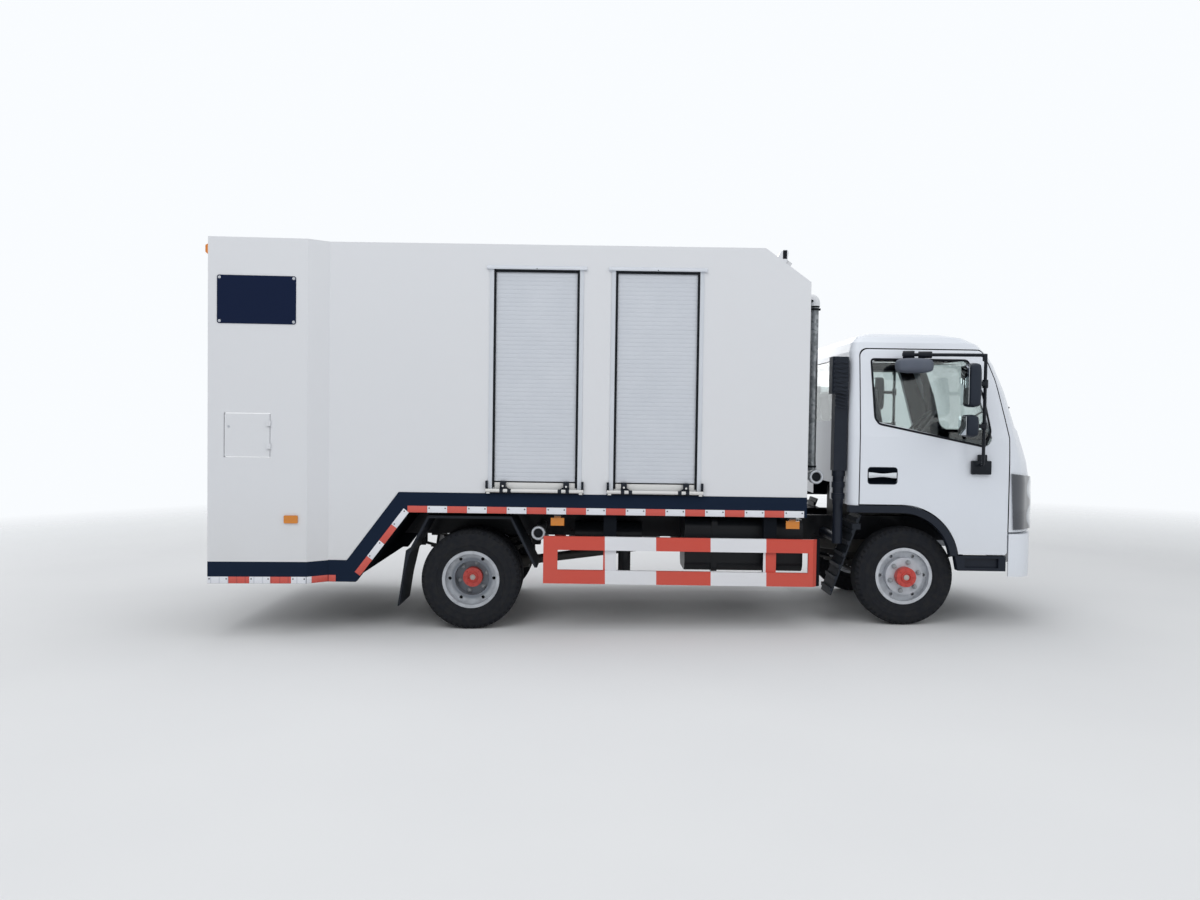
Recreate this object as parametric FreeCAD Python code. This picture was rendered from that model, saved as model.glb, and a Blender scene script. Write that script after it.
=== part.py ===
import FreeCAD, Part
import math
import os

# Bin-washing truck on a light two-axle cab-over chassis. Millimetres.
# X runs forward from the rear axle, Y to the left and Z up from the ground.
# The sprung pieces are drawn level and then tipped nose down about the front wheels,
# as the empty truck stands, and the origin ends up at the middle of the length.

V = FreeCAD.Vector

# How the truck stands
WHEELBASE = 3308.0
RAKE_DEGREES = 1.0
RAKE_PIVOT_HEIGHT = 370.0
OVERRUN = 20.0
RUNNING_GAP = 0.3

# Wheels
TYRE_RADIUS = 376.0
TYRE_WIDTH = 194.0
TYRE_SHOULDER = 48.0
TREAD_INSET = 22.0
TYRE_SIDES = 60
RIM_RADIUS = 222.0
RIM_WIDTH = 150.0
RIM_INSIDE = 194.0
DISC_WALL = 10.0
DISC_BULGE = 62.0
HUB_RADIUS = 74.0
HUB_LENGTH = 60.0
HUB_BORE = 34.0
HUB_CAP_WALL = 30.0
DISC_FLAT_RADIUS = 132.0
HAND_HOLE_RADIUS = 13.0
HAND_HOLE_RING = 168.0
HAND_HOLE_COUNT = 6
FRONT_WHEEL_SIDE = 768.0
REAR_TWIN_SIDE = 748.0
TWIN_SPACING = 226.0
DRUM_RADIUS = 170.0
DRUM_LENGTH = 70.0
FRONT_DISC_EDGE = 20.0
DRUM_CLEAR = 18.0
STUB_CLEAR = 2.0

# Front axle and steering
KINGPIN_SIDE = 668.0
KINGPIN_RADIUS = 20.0
KINGPIN_HEIGHT = 210.0
KNUCKLE_BOSS_RADIUS = 42.0
AXLE_BEAM_HEIGHT = 80.0
AXLE_BEAM_DEPTH = 78.0
AXLE_BEAM_WEB = 16.0
AXLE_BEAM_FLANGE = 14.0
AXLE_DROP = 60.0
AXLE_DROP_SIDE = 540.0
YOKE_THICK = 30.0
YOKE_GAP = 5.0
EAR_HEIGHT = 58.0
STEER_ARM_INSET = 70.0
STEER_DEGREES = 33.0
STEER_ARM_LENGTH = 130.0
STEER_ARM_WIDTH = 36.0
STEER_ARM_THICK = 20.0
TRACK_ROD_RADIUS = 14.0
ROD_END_RADIUS = 20.0
ROD_END_HEIGHT = 32.0

# Rear axle
AXLE_TUBE_RADIUS = 52.0
AXLE_CASE_RADIUS = 165.0
AXLE_CASE_DEPTH = 180.0
AXLE_NECK_RADIUS = 100.0
AXLE_NECK_END = 180.0
PINION_NOSE = 230.0
PINION_RADIUS = 60.0

# Leaf springs
SPRING_SIDE = 342.0
SPRING_WIDTH = 64.0
LEAF_THICK = 12.0
LEAF_COUNT = 5
FRONT_SPRING_SPAN = 600.0
REAR_SPRING_SPAN = 480.0
SPRING_CAMBER = 70.0
LEAF_STEP_SHARE = 0.16
SPRING_EYE_RADIUS = 24.0
SPRING_SEAT_HEIGHT = 46.0
HANGER_THICK = 12.0
HANGER_LENGTH = 70.0
SPRING_PIN_DROP = 30.0

# Chassis frame
FRAME_SIDE = 375.0
RAIL_HEIGHT = 190.0
RAIL_FLANGE = 66.0
RAIL_WALL = 7.0
RAIL_TOP = 792.0
FRAME_REAR = -640.0
FRAME_END_CLEAR = 12.0
FRAME_FRONT = 4170.0
CROSS_MEMBER_HEIGHT = 130.0
CROSS_MEMBER_DEPTH = 60.0
CROSS_MEMBER_PLACES = (-400.0, 620.0, 1500.0, 2080.0, 4110.0)
PIVOT_PLATE_LENGTH = 90.0

# Engine, gearbox and propeller shaft
ENGINE_REAR = 2960.0
ENGINE_LENGTH = 720.0
ENGINE_WIDTH = 520.0
ENGINE_HEIGHT = 560.0
ENGINE_BOTTOM = 480.0
GEARBOX_LENGTH = 560.0
GEARBOX_RADIUS = 150.0
GEARBOX_TAIL_RADIUS = 90.0
GEARBOX_HEIGHT = 620.0
PROP_SHAFT_RADIUS = 38.0
PROP_JOINT_RADIUS = 58.0
PROP_JOINT_LENGTH = 70.0

# Tanks and boxes hung on the frame
FUEL_TANK_REAR = 1620.0
FUEL_TANK_LENGTH = 900.0
FUEL_TANK_WIDTH = 420.0
FUEL_TANK_HEIGHT = 400.0
FUEL_TANK_TOP = 800.0
FUEL_TANK_ROUND = 70.0
TANK_OUTER_SIDE = 880.0
STRAP_WIDTH = 44.0
STRAP_THICK = 4.0
BATTERY_REAR = 1850.0
BATTERY_LENGTH = 560.0
BATTERY_DEPTH = 330.0
BATTERY_HEIGHT = 330.0
BATTERY_BOTTOM = 430.0
MUFFLER_REAR = 700.0
MUFFLER_LENGTH = 820.0
MUFFLER_RADIUS = 120.0
MUFFLER_SIDE = 640.0
MUFFLER_CENTRE = 520.0
EXHAUST_PIPE_RADIUS = 36.0
AIR_TANK_RADIUS = 110.0
AIR_TANK_LENGTH = 520.0
AIR_TANK_REAR = 780.0
AIR_TANK_SIDE = 620.0
AIR_TANK_CENTRE = 640.0
CANISTER_RADIUS = 48.0
CANISTER_X = 1166.0
CANISTER_TOP = 585.0
CANISTER_BOTTOM = 372.0
CANISTER_SIDE = 720.0

# Body: box, sill and rear housing
BODY_SIDE = 1050.0
BODY_FRONT = 2510.0
BODY_ROOF = 2826.0
BODY_WALL = 40.0
CHAMFER_LENGTH = 340.0
CHAMFER_DROP = 245.0
FLOOR_UNDER = 900.0
FLOOR_TOP = 984.0
SILL_DEPTH = 150.0
SILL_THICK = 58.0
REAR_LOW = 308.0
REAR_FLOOR = 372.0
STEP_LOW_X = -909.0
STEP_HIGH_X = -527.0
STEP_LOW_Z = 470.0
BULKHEAD_X = -480.0
BEVEL_FRONT = -1047.0
BEVEL_REAR = -1178.0
TAIL_X = -1887.0
BEVEL_OUT = 110.0
TAIL_FLARE = 46.0
HOUSING_WALL = 45.0
TAIL_HEADER_DROP = 330.0
TAIL_POST = 90.0
TAIL_POST_DEPTH = 60.0
JOINT_GAP = 2.0

# Subframe between chassis and body
BEARER_PITCH = 520.0
BEARER_COUNT = 6
BEARER_WIDTH = 60.0
BEARER_HEIGHT = 58.0
BEARER_FIRST = -300.0

# Roller shutters
SHUTTER_CENTRES = (482.0, 1376.0)
SHUTTER_WIDTHS = (634.0, 624.0)
SHUTTER_BOTTOM = 1008.0
SHUTTER_TOP = 2652.0
GUIDE_WIDTH = 30.0
GUIDE_DEPTH = 46.0
GUIDE_PROUD = 6.0
GUIDE_LIP = 8.0
SLOT_DEPTH = 14.0
SLAT_COUNT = 50
SLAT_THICK = 8.0
SLAT_CROWN = 5.0
CURTAIN_GAP = 3.0
HEADER_HEIGHT = 30.0
HEADER_PROUD = 24.0
HEADER_EXTRA = 22.0
SILL_BAR_HEIGHT = 14.0
SILL_BAR_PROUD = 12.0
DRUM_BOX = 130.0
DRUM_BOX_WALL = 3.0
HAND_RAIL_HEIGHT = 58.0
HAND_RAIL_THICK = 14.0
HAND_RAIL_LIFT = 6.0
RAIL_SIDE_GAP = 6.0
LATCH_WIDTH = 60.0
LATCH_HEIGHT = 62.0
LATCH_PROUD = 20.0
LATCH_SHARE = 0.2
SHUTTER_TRAVEL = 1450.0

# What the shutters open onto
WATER_TANK_REAR = 960.0
WATER_TANK_LENGTH = 1380.0
WATER_TANK_SIDE = 700.0
WATER_TANK_HEIGHT = 1150.0
WATER_TANK_ROUND = 70.0
TANK_RIB_COUNT = 4
TANK_RIB_WIDTH = 50.0
TANK_RIB_PROUD = 18.0
MANHOLE_RADIUS = 210.0
MANHOLE_HEIGHT = 70.0
PUMP_FRAME_REAR = 120.0
PUMP_FRAME_LENGTH = 720.0
PUMP_FRAME_SIDE = 420.0
PUMP_FRAME_HEIGHT = 700.0
PUMP_FRAME_TUBE = 40.0
PUMP_BODY_LENGTH = 340.0
PUMP_BODY_RADIUS = 150.0
PUMP_HEAD_SIZE = 220.0

# Rear bin lift
MAST_SIDE = 480.0
MAST_X = -1560.0
MAST_DEPTH = 90.0
MAST_WIDTH = 70.0
MAST_WALL = 8.0
MAST_TOP = 2640.0
LIFT_TRAVEL = 1150.0
CARRIAGE_BOTTOM = 480.0
CARRIAGE_HEIGHT = 520.0
CARRIAGE_SIDE = 640.0
CARRIAGE_TUBE = 60.0
CARRIAGE_GAP = 8.0
COMB_THICK = 30.0
COMB_HEIGHT = 470.0
COMB_SIDE = 600.0
COMB_TOOTH_COUNT = 13
COMB_TOOTH_WIDTH = 26.0
COMB_TOOTH_HEIGHT = 60.0
COMB_PIVOT_RADIUS = 16.0
COMB_EAR_THICK = 14.0
COMB_EAR_REACH = 80.0
COMB_TIP_DEGREES = 90.0

# Side fittings
GUARD_REAR = 552.0
GUARD_FRONT = 2630.0
GUARD_BEND = 62.0
GUARD_TOP = 668.0
GUARD_BOTTOM = 314.0
GUARD_RAIL_HEIGHT = 102.0
GUARD_POST = 106.0
GUARD_SIDE = 1035.0
GUARD_THICK = 30.0
GUARD_BRACKET_PLACES = (1000.0, 2200.0)
GUARD_BRACKET_WIDTH = 96.0
MARKER_LENGTH = 100.0
MARKER_HEIGHT = 58.0
MARKER_THICK = 26.0
MARKER_BOTTOM = 746.0
MARKER_PLACES = (604.0, 2364.0)
REAR_MARKER_X = -1340.0
REAR_MARKER_BOTTOM = 752.0
PANEL_REAR = -1822.0
PANEL_LENGTH = 562.0
PANEL_BOTTOM = 2202.0
PANEL_HEIGHT = 349.0
PANEL_THICK = 4.0
PANEL_ROUND = 16.0
HATCH_REAR = -1767.0
HATCH_LENGTH = 322.0
HATCH_BOTTOM = 1236.0
HATCH_HEIGHT = 314.0
HATCH_THICK = 20.0
HATCH_GAP = 5.0
HINGE_RADIUS = 7.0
HINGE_LENGTH = 40.0
HINGE_OUT = 10.0
RING_OUTER = 54.0
RING_BORE = 33.0
RING_LENGTH = 60.0
REAR_RING_X = 510.0
REAR_RING_HEIGHT = 683.0
FRONT_RING_X = 2592.0
FRONT_RING_HEIGHT = 1136.0
RING_FACE_SIDE = 980.0
PIPE_RADIUS = 30.0
PIPE_X = 2556.0
PIPE_SIDES = (620.0, 760.0)
PIPE_TOP = 2560.0
WORK_LAMP_SIZE = 84.0
WORK_LAMP_SIDE = 900.0
WORK_LAMP_DEPTH = 50.0
TAIL_LAMP_WIDTH = 110.0
TAIL_LAMP_HEIGHT = 320.0
TAIL_LAMP_DEPTH = 30.0
TAIL_LAMP_BOTTOM = 560.0
TOP_LAMP_HEIGHT = 100.0
TOP_LAMP_REACH = 36.0
TOP_LAMP_BOTTOM = 2690.0
REAR_LAMP_PROUD = 4.0

# Mudguards
MUDGUARD_THICK = 20.0
MUDGUARD_WIDTH = 440.0
MUDGUARD_OUTER = 990.0
MUDGUARD_TOP = 806.0
MUDGUARD_REAR_TOP = -320.0
MUDGUARD_FRONT_TOP = 309.0
MUDGUARD_REAR_LOW = -470.0
MUDGUARD_REAR_LOW_Z = 520.0
MUDGUARD_FRONT_LOW = 504.0
MUDGUARD_FRONT_LOW_Z = 424.0
FLAP_THICK = 12.0
FLAP_BOTTOM = 120.0
FLAP_BACK = 60.0
FENDER_TOP_X = 2960.0
FENDER_TOP_Z = 850.0
FENDER_LOW_X = 2740.0
FENDER_LOW_Z = 230.0
FENDER_INNER = 600.0
FENDER_OUTER = 900.0
FENDER_RIB_COUNT = 7
FENDER_RIB_PROUD = 14.0

# Cab
CAB_REAR = 2850.0
CAB_NOSE = 4400.0
CAB_SIDE = 945.0
CAB_WALL = 45.0
CAB_PANEL_BOTTOM = 735.0
CAB_SILL_BOTTOM = 560.0
CAB_FLOOR = 962.0
CAB_RAIL_CLEAR = 860.0
CAB_FOOTWELL_FLOOR = 606.0
FOOTWELL_INNER = 600.0
FOOTWELL_REAR = 3735.0
TUNNEL_SIDE = 310.0
TUNNEL_TOP = 1090.0
TUNNEL_WALL = 30.0
TUNNEL_FRONT = 3960.0
ARCH_CENTRE_X = 3250.0
ARCH_CENTRE_Z = 492.0
ARCH_RADIUS = 432.0
DOOR_REAR = 2930.0
DOOR_TOP = 2107.0
DOOR_FRONT = 4052.0
DOOR_FRONT_TOP = 3858.0
DOOR_PILLAR_X = 3950.0
DOOR_PILLAR_Z = 1885.0
DOOR_PILLAR_ROUND = 200.0
DOOR_BELT_ROUND = 80.0
DOOR_TOP_ROUND = 50.0
DOOR_REAR_ROUND = 60.0
DOOR_FOOT_ROUND = 24.0
DOOR_BELT = 1444.0
DOOR_BOTTOM = 563.0
DOOR_GAP = 9.0
DOOR_OPEN_DEGREES = 68.0
WINDOW_REAR_TOP = 3014.0
WINDOW_REAR_LOW = 3040.0
WINDOW_TOP = 2034.0
WINDOW_REAR_SILL = 1560.0
WINDOW_FRONT_SILL = 1378.0
WINDOW_FRONT_LOW = 3890.0
WINDOW_FRONT = 3922.0
WINDOW_FRONT_TOP = 3742.0
GLASS_THICK = 6.0
GLASS_GAP = 1.0
SCREEN_BOTTOM = 1500.0
SCREEN_TOP = 2085.0
SCREEN_LOW_SIDE = 830.0
SCREEN_TOP_SIDE = 755.0
BACK_LIGHT_BOTTOM = 1560.0
BACK_LIGHT_TOP = 2050.0
BACK_LIGHT_SIDE = 640.0
PIVOT_BEHIND_NOSE = 100.0
PIVOT_HEIGHT = 564.0
CAB_TILT_DEGREES = 45.0
TILT_ARM_SIDE = 430.0
TILT_ARM_THICK = 40.0
TILT_ARM_WIDTH = 56.0
TILT_PIN_RADIUS = 16.0
GRILLE_BOTTOM = 760.0
GRILLE_TOP = 1180.0
GRILLE_SIDE = 560.0
GRILLE_BAR_COUNT = 5
GRILLE_BAR_HEIGHT = 40.0
GRILLE_PROUD = 16.0
LAMP_BOTTOM = 747.0
LAMP_TOP = 1178.0
LAMP_INNER_SIDE = 640.0
LAMP_REAR_LOW = 4098.0
LAMP_REAR_TOP = 4073.0
LAMP_DEPTH = 40.0
FLARE_DEPTH = 54.0
FLARE_THICK = 60.0
FLARE_PROUD = 8.0
STEP_FRONT = 4044.0
STEP_REAR = 3682.0
STEP_BOTTOM = 439.0
STEP_INNER = 880.0
SEAT_REAR = 2960.0
SEAT_DEPTH = 520.0
SEAT_WIDTH = 500.0
SEAT_TOP = 1290.0
SEAT_CUSHION = 150.0
SEAT_BACK_HEIGHT = 560.0
SEAT_BACK_THICK = 130.0
SEAT_RAKE = 110.0
SEAT_SIDE = 560.0
SEAT_ROUND = 36.0
DASH_REAR = 3900.0
DASH_TOP = 1420.0
DASH_BOTTOM = 1130.0
DASH_SIDE = 850.0
WHEEL_RIM_RADIUS = 220.0
WHEEL_RIM_TUBE = 15.0
WHEEL_CENTRE_X = 3790.0
WHEEL_CENTRE_Z = 1500.0
WHEEL_SLOPE_DEGREES = 40.0
STEERING_SIDE = 420.0
COLUMN_RADIUS = 30.0

# Bumper
BUMPER_TOP = 722.0
BUMPER_BOTTOM = 400.0
BUMPER_ROUND = 60.0
BUMPER_WALL = 12.0
BUMPER_RETURN = 80.0
BUMPER_BRACKET_SIDE = 680.0
BUMPER_BRACKET_WIDTH = 60.0
BUMPER_BRACKET_HEIGHT = 50.0
BUMPER_BRACKET_LOW = 560.0
BUMPER_BRACKET_REAR = 4130.0
BUMPER_BRACKET_LENGTH = 60.0
BUMPER_END = 4062.0
BUMPER_SIDE = 950.0
BUMPER_CHEEK_BACK = 76.0
BUMPER_CHEEK_SIDE = 700.0
BUMPER_CORNER_BACK = 190.0
BUMPER_CORNER_RADIUS = 150.0
BUMPER_FLAT_SIDE = 180.0

# Mirrors
MIRROR_TUBE_RADIUS = 13.0
MIRROR_TUBE_X = 3742.0
MIRROR_TUBE_SIDE = 1130.0
MIRROR_TUBE_TOP = 2052.0
MIRROR_TUBE_LOW = 1230.0
MIRROR_ARM_REAR = 3230.0
MIRROR_HEAD_WIDTH = 200.0
MIRROR_HEAD_DEPTH = 60.0
MIRROR_HEAD_TOP = 1990.0
MIRROR_HEAD_LOW = 1672.0
WIDE_HEAD_TOP = 1616.0
WIDE_HEAD_LOW = 1452.0
KERB_HEAD_REAR = 3115.0
KERB_HEAD_FRONT = 3372.0
KERB_HEAD_TOP = 2006.0
KERB_HEAD_LOW = 1912.0
MIRROR_ROUND = 24.0

# Intake behind the cab
SNORKEL_REAR = 2718.0
SNORKEL_FRONT = 2842.0
SNORKEL_SIDE = 830.0
SNORKEL_WIDTH = 150.0
SNORKEL_TOP = 2045.0
SNORKEL_BOTTOM = 1180.0
SNORKEL_LOUVRE_BOTTOM = 1765.0
LOUVRE_COUNT = 7
LOUVRE_PROUD = 8.0
BELLOWS_RADIUS = 50.0
BELLOWS_BOTTOM = 920.0
BELLOWS_RIBS = 3
DUCT_RADIUS = 38.0
DUCT_BOTTOM = 660.0

front_axle_x = WHEELBASE
body_back_top = BODY_ROOF
step_run = STEP_HIGH_X - STEP_LOW_X
step_rise = FLOOR_TOP - STEP_LOW_Z
step_length = math.hypot(step_run, step_rise)
cab_pivot_x = CAB_NOSE - PIVOT_BEHIND_NOSE
tail_side = BODY_SIDE + BEVEL_OUT + TAIL_FLARE
bevel_side = BODY_SIDE + BEVEL_OUT


def tipped(x, z):
    """The place of a level point once the truck stands nose down."""
    angle = math.radians(RAKE_DEGREES)
    ahead = x - front_axle_x
    above = z - RAKE_PIVOT_HEIGHT
    return (front_axle_x + ahead * math.cos(angle) + above * math.sin(angle),
            RAKE_PIVOT_HEIGHT - ahead * math.sin(angle) + above * math.cos(angle))


tail_end = tipped(TAIL_X - REAR_LAMP_PROUD, REAR_LOW)[0]
nose_end = tipped(CAB_NOSE + GRILLE_PROUD, GRILLE_TOP)[0]
origin_x = (tail_end + nose_end) / 2
pieces = {}


def keep(name, shape, sprung=True):
    """Put a finished piece in its place on the standing truck."""
    if sprung:
        shape.rotate(V(front_axle_x, 0, RAKE_PIVOT_HEIGHT), V(0, 1, 0), RAKE_DEGREES)
    shape.translate(V(-origin_x, 0, 0))
    pieces[name] = shape


def block(x, y, z):
    """Box between pairs of limits."""
    return Part.makeBox(x[1] - x[0], y[1] - y[0], z[1] - z[0], V(x[0], y[0], z[0]))


def rod(start, end, radius):
    """Round bar from start to end."""
    run = V(*end) - V(*start)
    return Part.makeCylinder(radius, run.Length, V(*start), run)


def rounded_wire(corners):
    """Closed outline with each corner, a point and a radius, rounded off."""
    arcs = []
    count = len(corners)
    for index in range(count):
        here, radius = corners[index]
        back = corners[index - 1][0] - here
        ahead = corners[(index + 1) % count][0] - here
        back.normalize()
        ahead.normalize()
        if radius == 0:
            arcs.append((here, here, here))
            continue
        half = back.getAngle(ahead) / 2
        reach = radius / math.tan(half)
        inward = back + ahead
        inward.normalize()
        middle = here + inward * (radius / math.sin(half) - radius)
        arcs.append((here + back * reach, middle, here + ahead * reach))
    edges = []
    for index in range(count):
        start, middle, end = arcs[index]
        if corners[index][1] > 0:
            edges.append(Part.Arc(start, middle, end).toShape())
        following = arcs[(index + 1) % count][0]
        if following.distanceToPoint(end) > RUNNING_GAP / 100:
            edges.append(Part.makeLine(end, following))
    return Part.Wire(edges)


def side_outline(points):
    """Outline in the X and Z plane from (x, z) or (x, z, radius)."""
    corners = [(V(p[0], 0, p[1]), p[2] if len(p) > 2 else 0) for p in points]
    return rounded_wire(corners)


def side_plate(points, y):
    """Outline in X and Z, as thick as from y[0] to y[1]."""
    plate = Part.Face(side_outline(points)).extrude(V(0, y[1] - y[0], 0))
    plate.translate(V(0, y[0], 0))
    return plate


def plan_plate(points, z):
    """Outline in X and Y, from z[0] up to z[1]."""
    corners = [(V(p[0], p[1], z[0]), p[2] if len(p) > 2 else 0) for p in points]
    return Part.Face(rounded_wire(corners)).extrude(V(0, 0, z[1] - z[0]))


def cross_plate(points, x):
    """Outline in Y and Z, from x[0] forward to x[1]."""
    corners = [(V(x[0], p[0], p[1]), p[2] if len(p) > 2 else 0) for p in points]
    return Part.Face(rounded_wire(corners)).extrude(V(x[1] - x[0], 0, 0))


def rectangle(a, b, radius=0):
    """Corners of a rectangle between pairs of limits."""
    return [(a[0], b[0], radius), (a[1], b[0], radius), (a[1], b[1], radius), (a[0], b[1], radius)]


def other_side(shape):
    """The same piece on the other side of the truck."""
    return shape.mirror(V(0, 0, 0), V(0, 1, 0))


def both_sides(shape):
    """A pair, left and right."""
    return Part.makeCompound([shape, other_side(shape)])


def fused(shapes):
    """One solid from pieces that meet."""
    return shapes[0].multiFuse(shapes[1:]).removeSplitter()


def turned(profile, centre, sides=1):
    """Solid turned about the Y axis through centre from (radius, y) points."""
    points = [V(centre[0] + r, centre[1] + sides * y, centre[2]) for r, y in profile]
    face = Part.Face(Part.makePolygon(points + [points[0]]))
    return face.revolve(V(*centre), V(0, 1, 0), 360)


# Wheels: tyre, dished or bulged disc wheel, hub and brake drum

def wheel_corners(centre, radius, y):
    """Corners of a many-sided outline about the wheel's axis, one of them at the ground."""
    corners = []
    for index in range(TYRE_SIDES):
        angle = 2 * math.pi * index / TYRE_SIDES
        corners.append(V(centre[0] + radius * math.cos(angle), centre[1] + y, centre[2] + radius * math.sin(angle)))
    return corners + [corners[0]]


def tyre(centre):
    """Many-sided tyre with sloping shoulders, seated on the rim."""
    half = TYRE_WIDTH / 2
    shoulder = TYRE_RADIUS - TYRE_SHOULDER
    stations = ((shoulder, -half), (TYRE_RADIUS, TREAD_INSET - half), (TYRE_RADIUS, half - TREAD_INSET), (shoulder, half))
    rings = [wheel_corners(centre, radius, y) for radius, y in stations]
    faces = [Part.Face(Part.makePolygon(rings[0])), Part.Face(Part.makePolygon(rings[-1]))]
    for near, far in zip(rings, rings[1:]):
        for index in range(TYRE_SIDES):
            corners = [near[index], near[index + 1], far[index + 1], far[index]]
            faces.append(Part.Face(Part.makePolygon(corners + [corners[0]])))
    body = Part.Solid(Part.Shell(faces))
    if body.Volume < 0:
        body.reverse()
    bore = rod((centre[0], centre[1] - TYRE_WIDTH, centre[2]), (centre[0], centre[1] + TYRE_WIDTH, centre[2]),
               RIM_RADIUS + RUNNING_GAP)
    return body.cut(bore)


def ring_of_cylinders(centre, ring, radius, y, count):
    """Cylinders along Y, spaced evenly on a ring about centre."""
    shapes = []
    for index in range(count):
        angle = 2 * math.pi * index / count
        x = centre[0] + ring * math.cos(angle)
        z = centre[2] + ring * math.sin(angle)
        shapes.append(rod((x, centre[1] + y[0], z), (x, centre[1] + y[1], z), radius))
    return shapes


def rim(centre, out, disc_y, bulge, hole_count):
    """Steel wheel facing out (+1 or -1): rim, stepped disc and hand holes."""
    half = RIM_WIDTH / 2
    barrel = [(RIM_INSIDE, -half), (RIM_RADIUS, -half), (RIM_RADIUS, half), (RIM_INSIDE, half)]
    edge = (RIM_INSIDE + RIM_RADIUS) / 2
    bore = HUB_BORE + RUNNING_GAP
    face = disc_y + bulge
    steps = sorted((DISC_FLAT_RADIUS, DISC_FLAT_RADIUS + DISC_WALL), reverse=bulge > 0)
    disc = [(bore, face - DISC_WALL), (steps[1], face - DISC_WALL), (steps[1], disc_y - DISC_WALL),
            (edge, disc_y - DISC_WALL), (edge, disc_y), (steps[0], disc_y), (steps[0], face), (bore, face)]
    wheel = fused([turned(barrel, centre), turned(disc, centre, out)])
    if hole_count == 0:
        return wheel
    holes = ring_of_cylinders(centre, HAND_HOLE_RING, HAND_HOLE_RADIUS,
                              (out * disc_y - RIM_WIDTH, out * disc_y + RIM_WIDTH), hole_count)
    return wheel.cut(Part.makeCompound(holes))


def hub(centre, out, face_y, drum_y):
    """Hub with its cap and brake drum, standing off the disc's face."""
    inner = HUB_BORE + RUNNING_GAP
    drum = DRUM_RADIUS + DISC_WALL
    cap = face_y + HUB_LENGTH
    profile = [
        (inner, drum_y), (DRUM_RADIUS, drum_y), (DRUM_RADIUS, drum_y - DRUM_LENGTH), (drum, drum_y - DRUM_LENGTH),
        (drum, drum_y + DISC_WALL), (HUB_RADIUS, drum_y + DISC_WALL), (HUB_RADIUS, cap), (0, cap),
        (0, cap - HUB_CAP_WALL), (inner, cap - HUB_CAP_WALL),
    ]
    return turned(profile, centre, out)


def wheel_centre(x, side, out):
    """Middle of a wheel that stands on the ground."""
    return (x, out * side, TYRE_RADIUS)


for word, out in (("left", 1), ("right", -1)):
    centre = wheel_centre(front_axle_x, FRONT_WHEEL_SIDE, out)
    keep("tyre_front_" + word, tyre(centre), False)
    face = FRONT_DISC_EDGE + DISC_BULGE
    body = hub(centre, out, face, FRONT_DISC_EDGE - DISC_WALL * 2 - DRUM_CLEAR)
    disc = rim(centre, out, FRONT_DISC_EDGE, DISC_BULGE, HAND_HOLE_COUNT)
    keep("wheel_front_" + word, fused([disc, body]), False)

    middle = wheel_centre(0, REAR_TWIN_SIDE, out)
    outer = wheel_centre(0, REAR_TWIN_SIDE + TWIN_SPACING / 2, out)
    inner = wheel_centre(0, REAR_TWIN_SIDE - TWIN_SPACING / 2, out)
    keep("tyres_rear_" + word, Part.makeCompound([tyre(outer), tyre(inner)]), False)
    dish = DISC_WALL - TWIN_SPACING / 2
    body = hub(middle, out, DISC_WALL, -TWIN_SPACING / 2 - DISC_WALL * 2 - DRUM_CLEAR)
    discs = [rim(outer, out, 0, dish, HAND_HOLE_COUNT), rim(inner, -out, 0, dish, 0)]
    keep("wheels_rear_" + word, fused(discs + [body]), False)

# Front axle: I-beam dropped between the springs, with king pins in its ends

axle_z = TYRE_RADIUS


def beam_strip(top, bottom):
    """Part of the beam's height, as an outline in Y and Z."""
    low = AXLE_DROP
    end = KINGPIN_SIDE
    knee = AXLE_DROP_SIDE
    foot = AXLE_DROP_SIDE - AXLE_DROP * 2
    upper = [(-end, axle_z + top), (-knee, axle_z + top), (-foot, axle_z + top - low),
             (foot, axle_z + top - low), (knee, axle_z + top), (end, axle_z + top)]
    lower = [(y, z - top + bottom) for y, z in reversed(upper)]
    return upper + lower


half_beam = AXLE_BEAM_HEIGHT / 2
flange = AXLE_BEAM_FLANGE
web_x = (front_axle_x - AXLE_BEAM_WEB / 2, front_axle_x + AXLE_BEAM_WEB / 2)
flange_x = (front_axle_x - AXLE_BEAM_DEPTH / 2, front_axle_x + AXLE_BEAM_DEPTH / 2)
beam = [
    cross_plate(beam_strip(half_beam, -half_beam), web_x),
    cross_plate(beam_strip(half_beam, half_beam - flange), flange_x),
    cross_plate(beam_strip(flange - half_beam, -half_beam), flange_x),
]
for out in (1, -1):
    y = out * KINGPIN_SIDE
    beam.append(rod((front_axle_x, y, axle_z - half_beam), (front_axle_x, y, axle_z + half_beam), KNUCKLE_BOSS_RADIUS))
    beam.append(rod((front_axle_x, y, axle_z - KINGPIN_HEIGHT / 2), (front_axle_x, y, axle_z + KINGPIN_HEIGHT / 2),
                    KINGPIN_RADIUS))
keep("front_axle", fused(beam), False)

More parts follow.
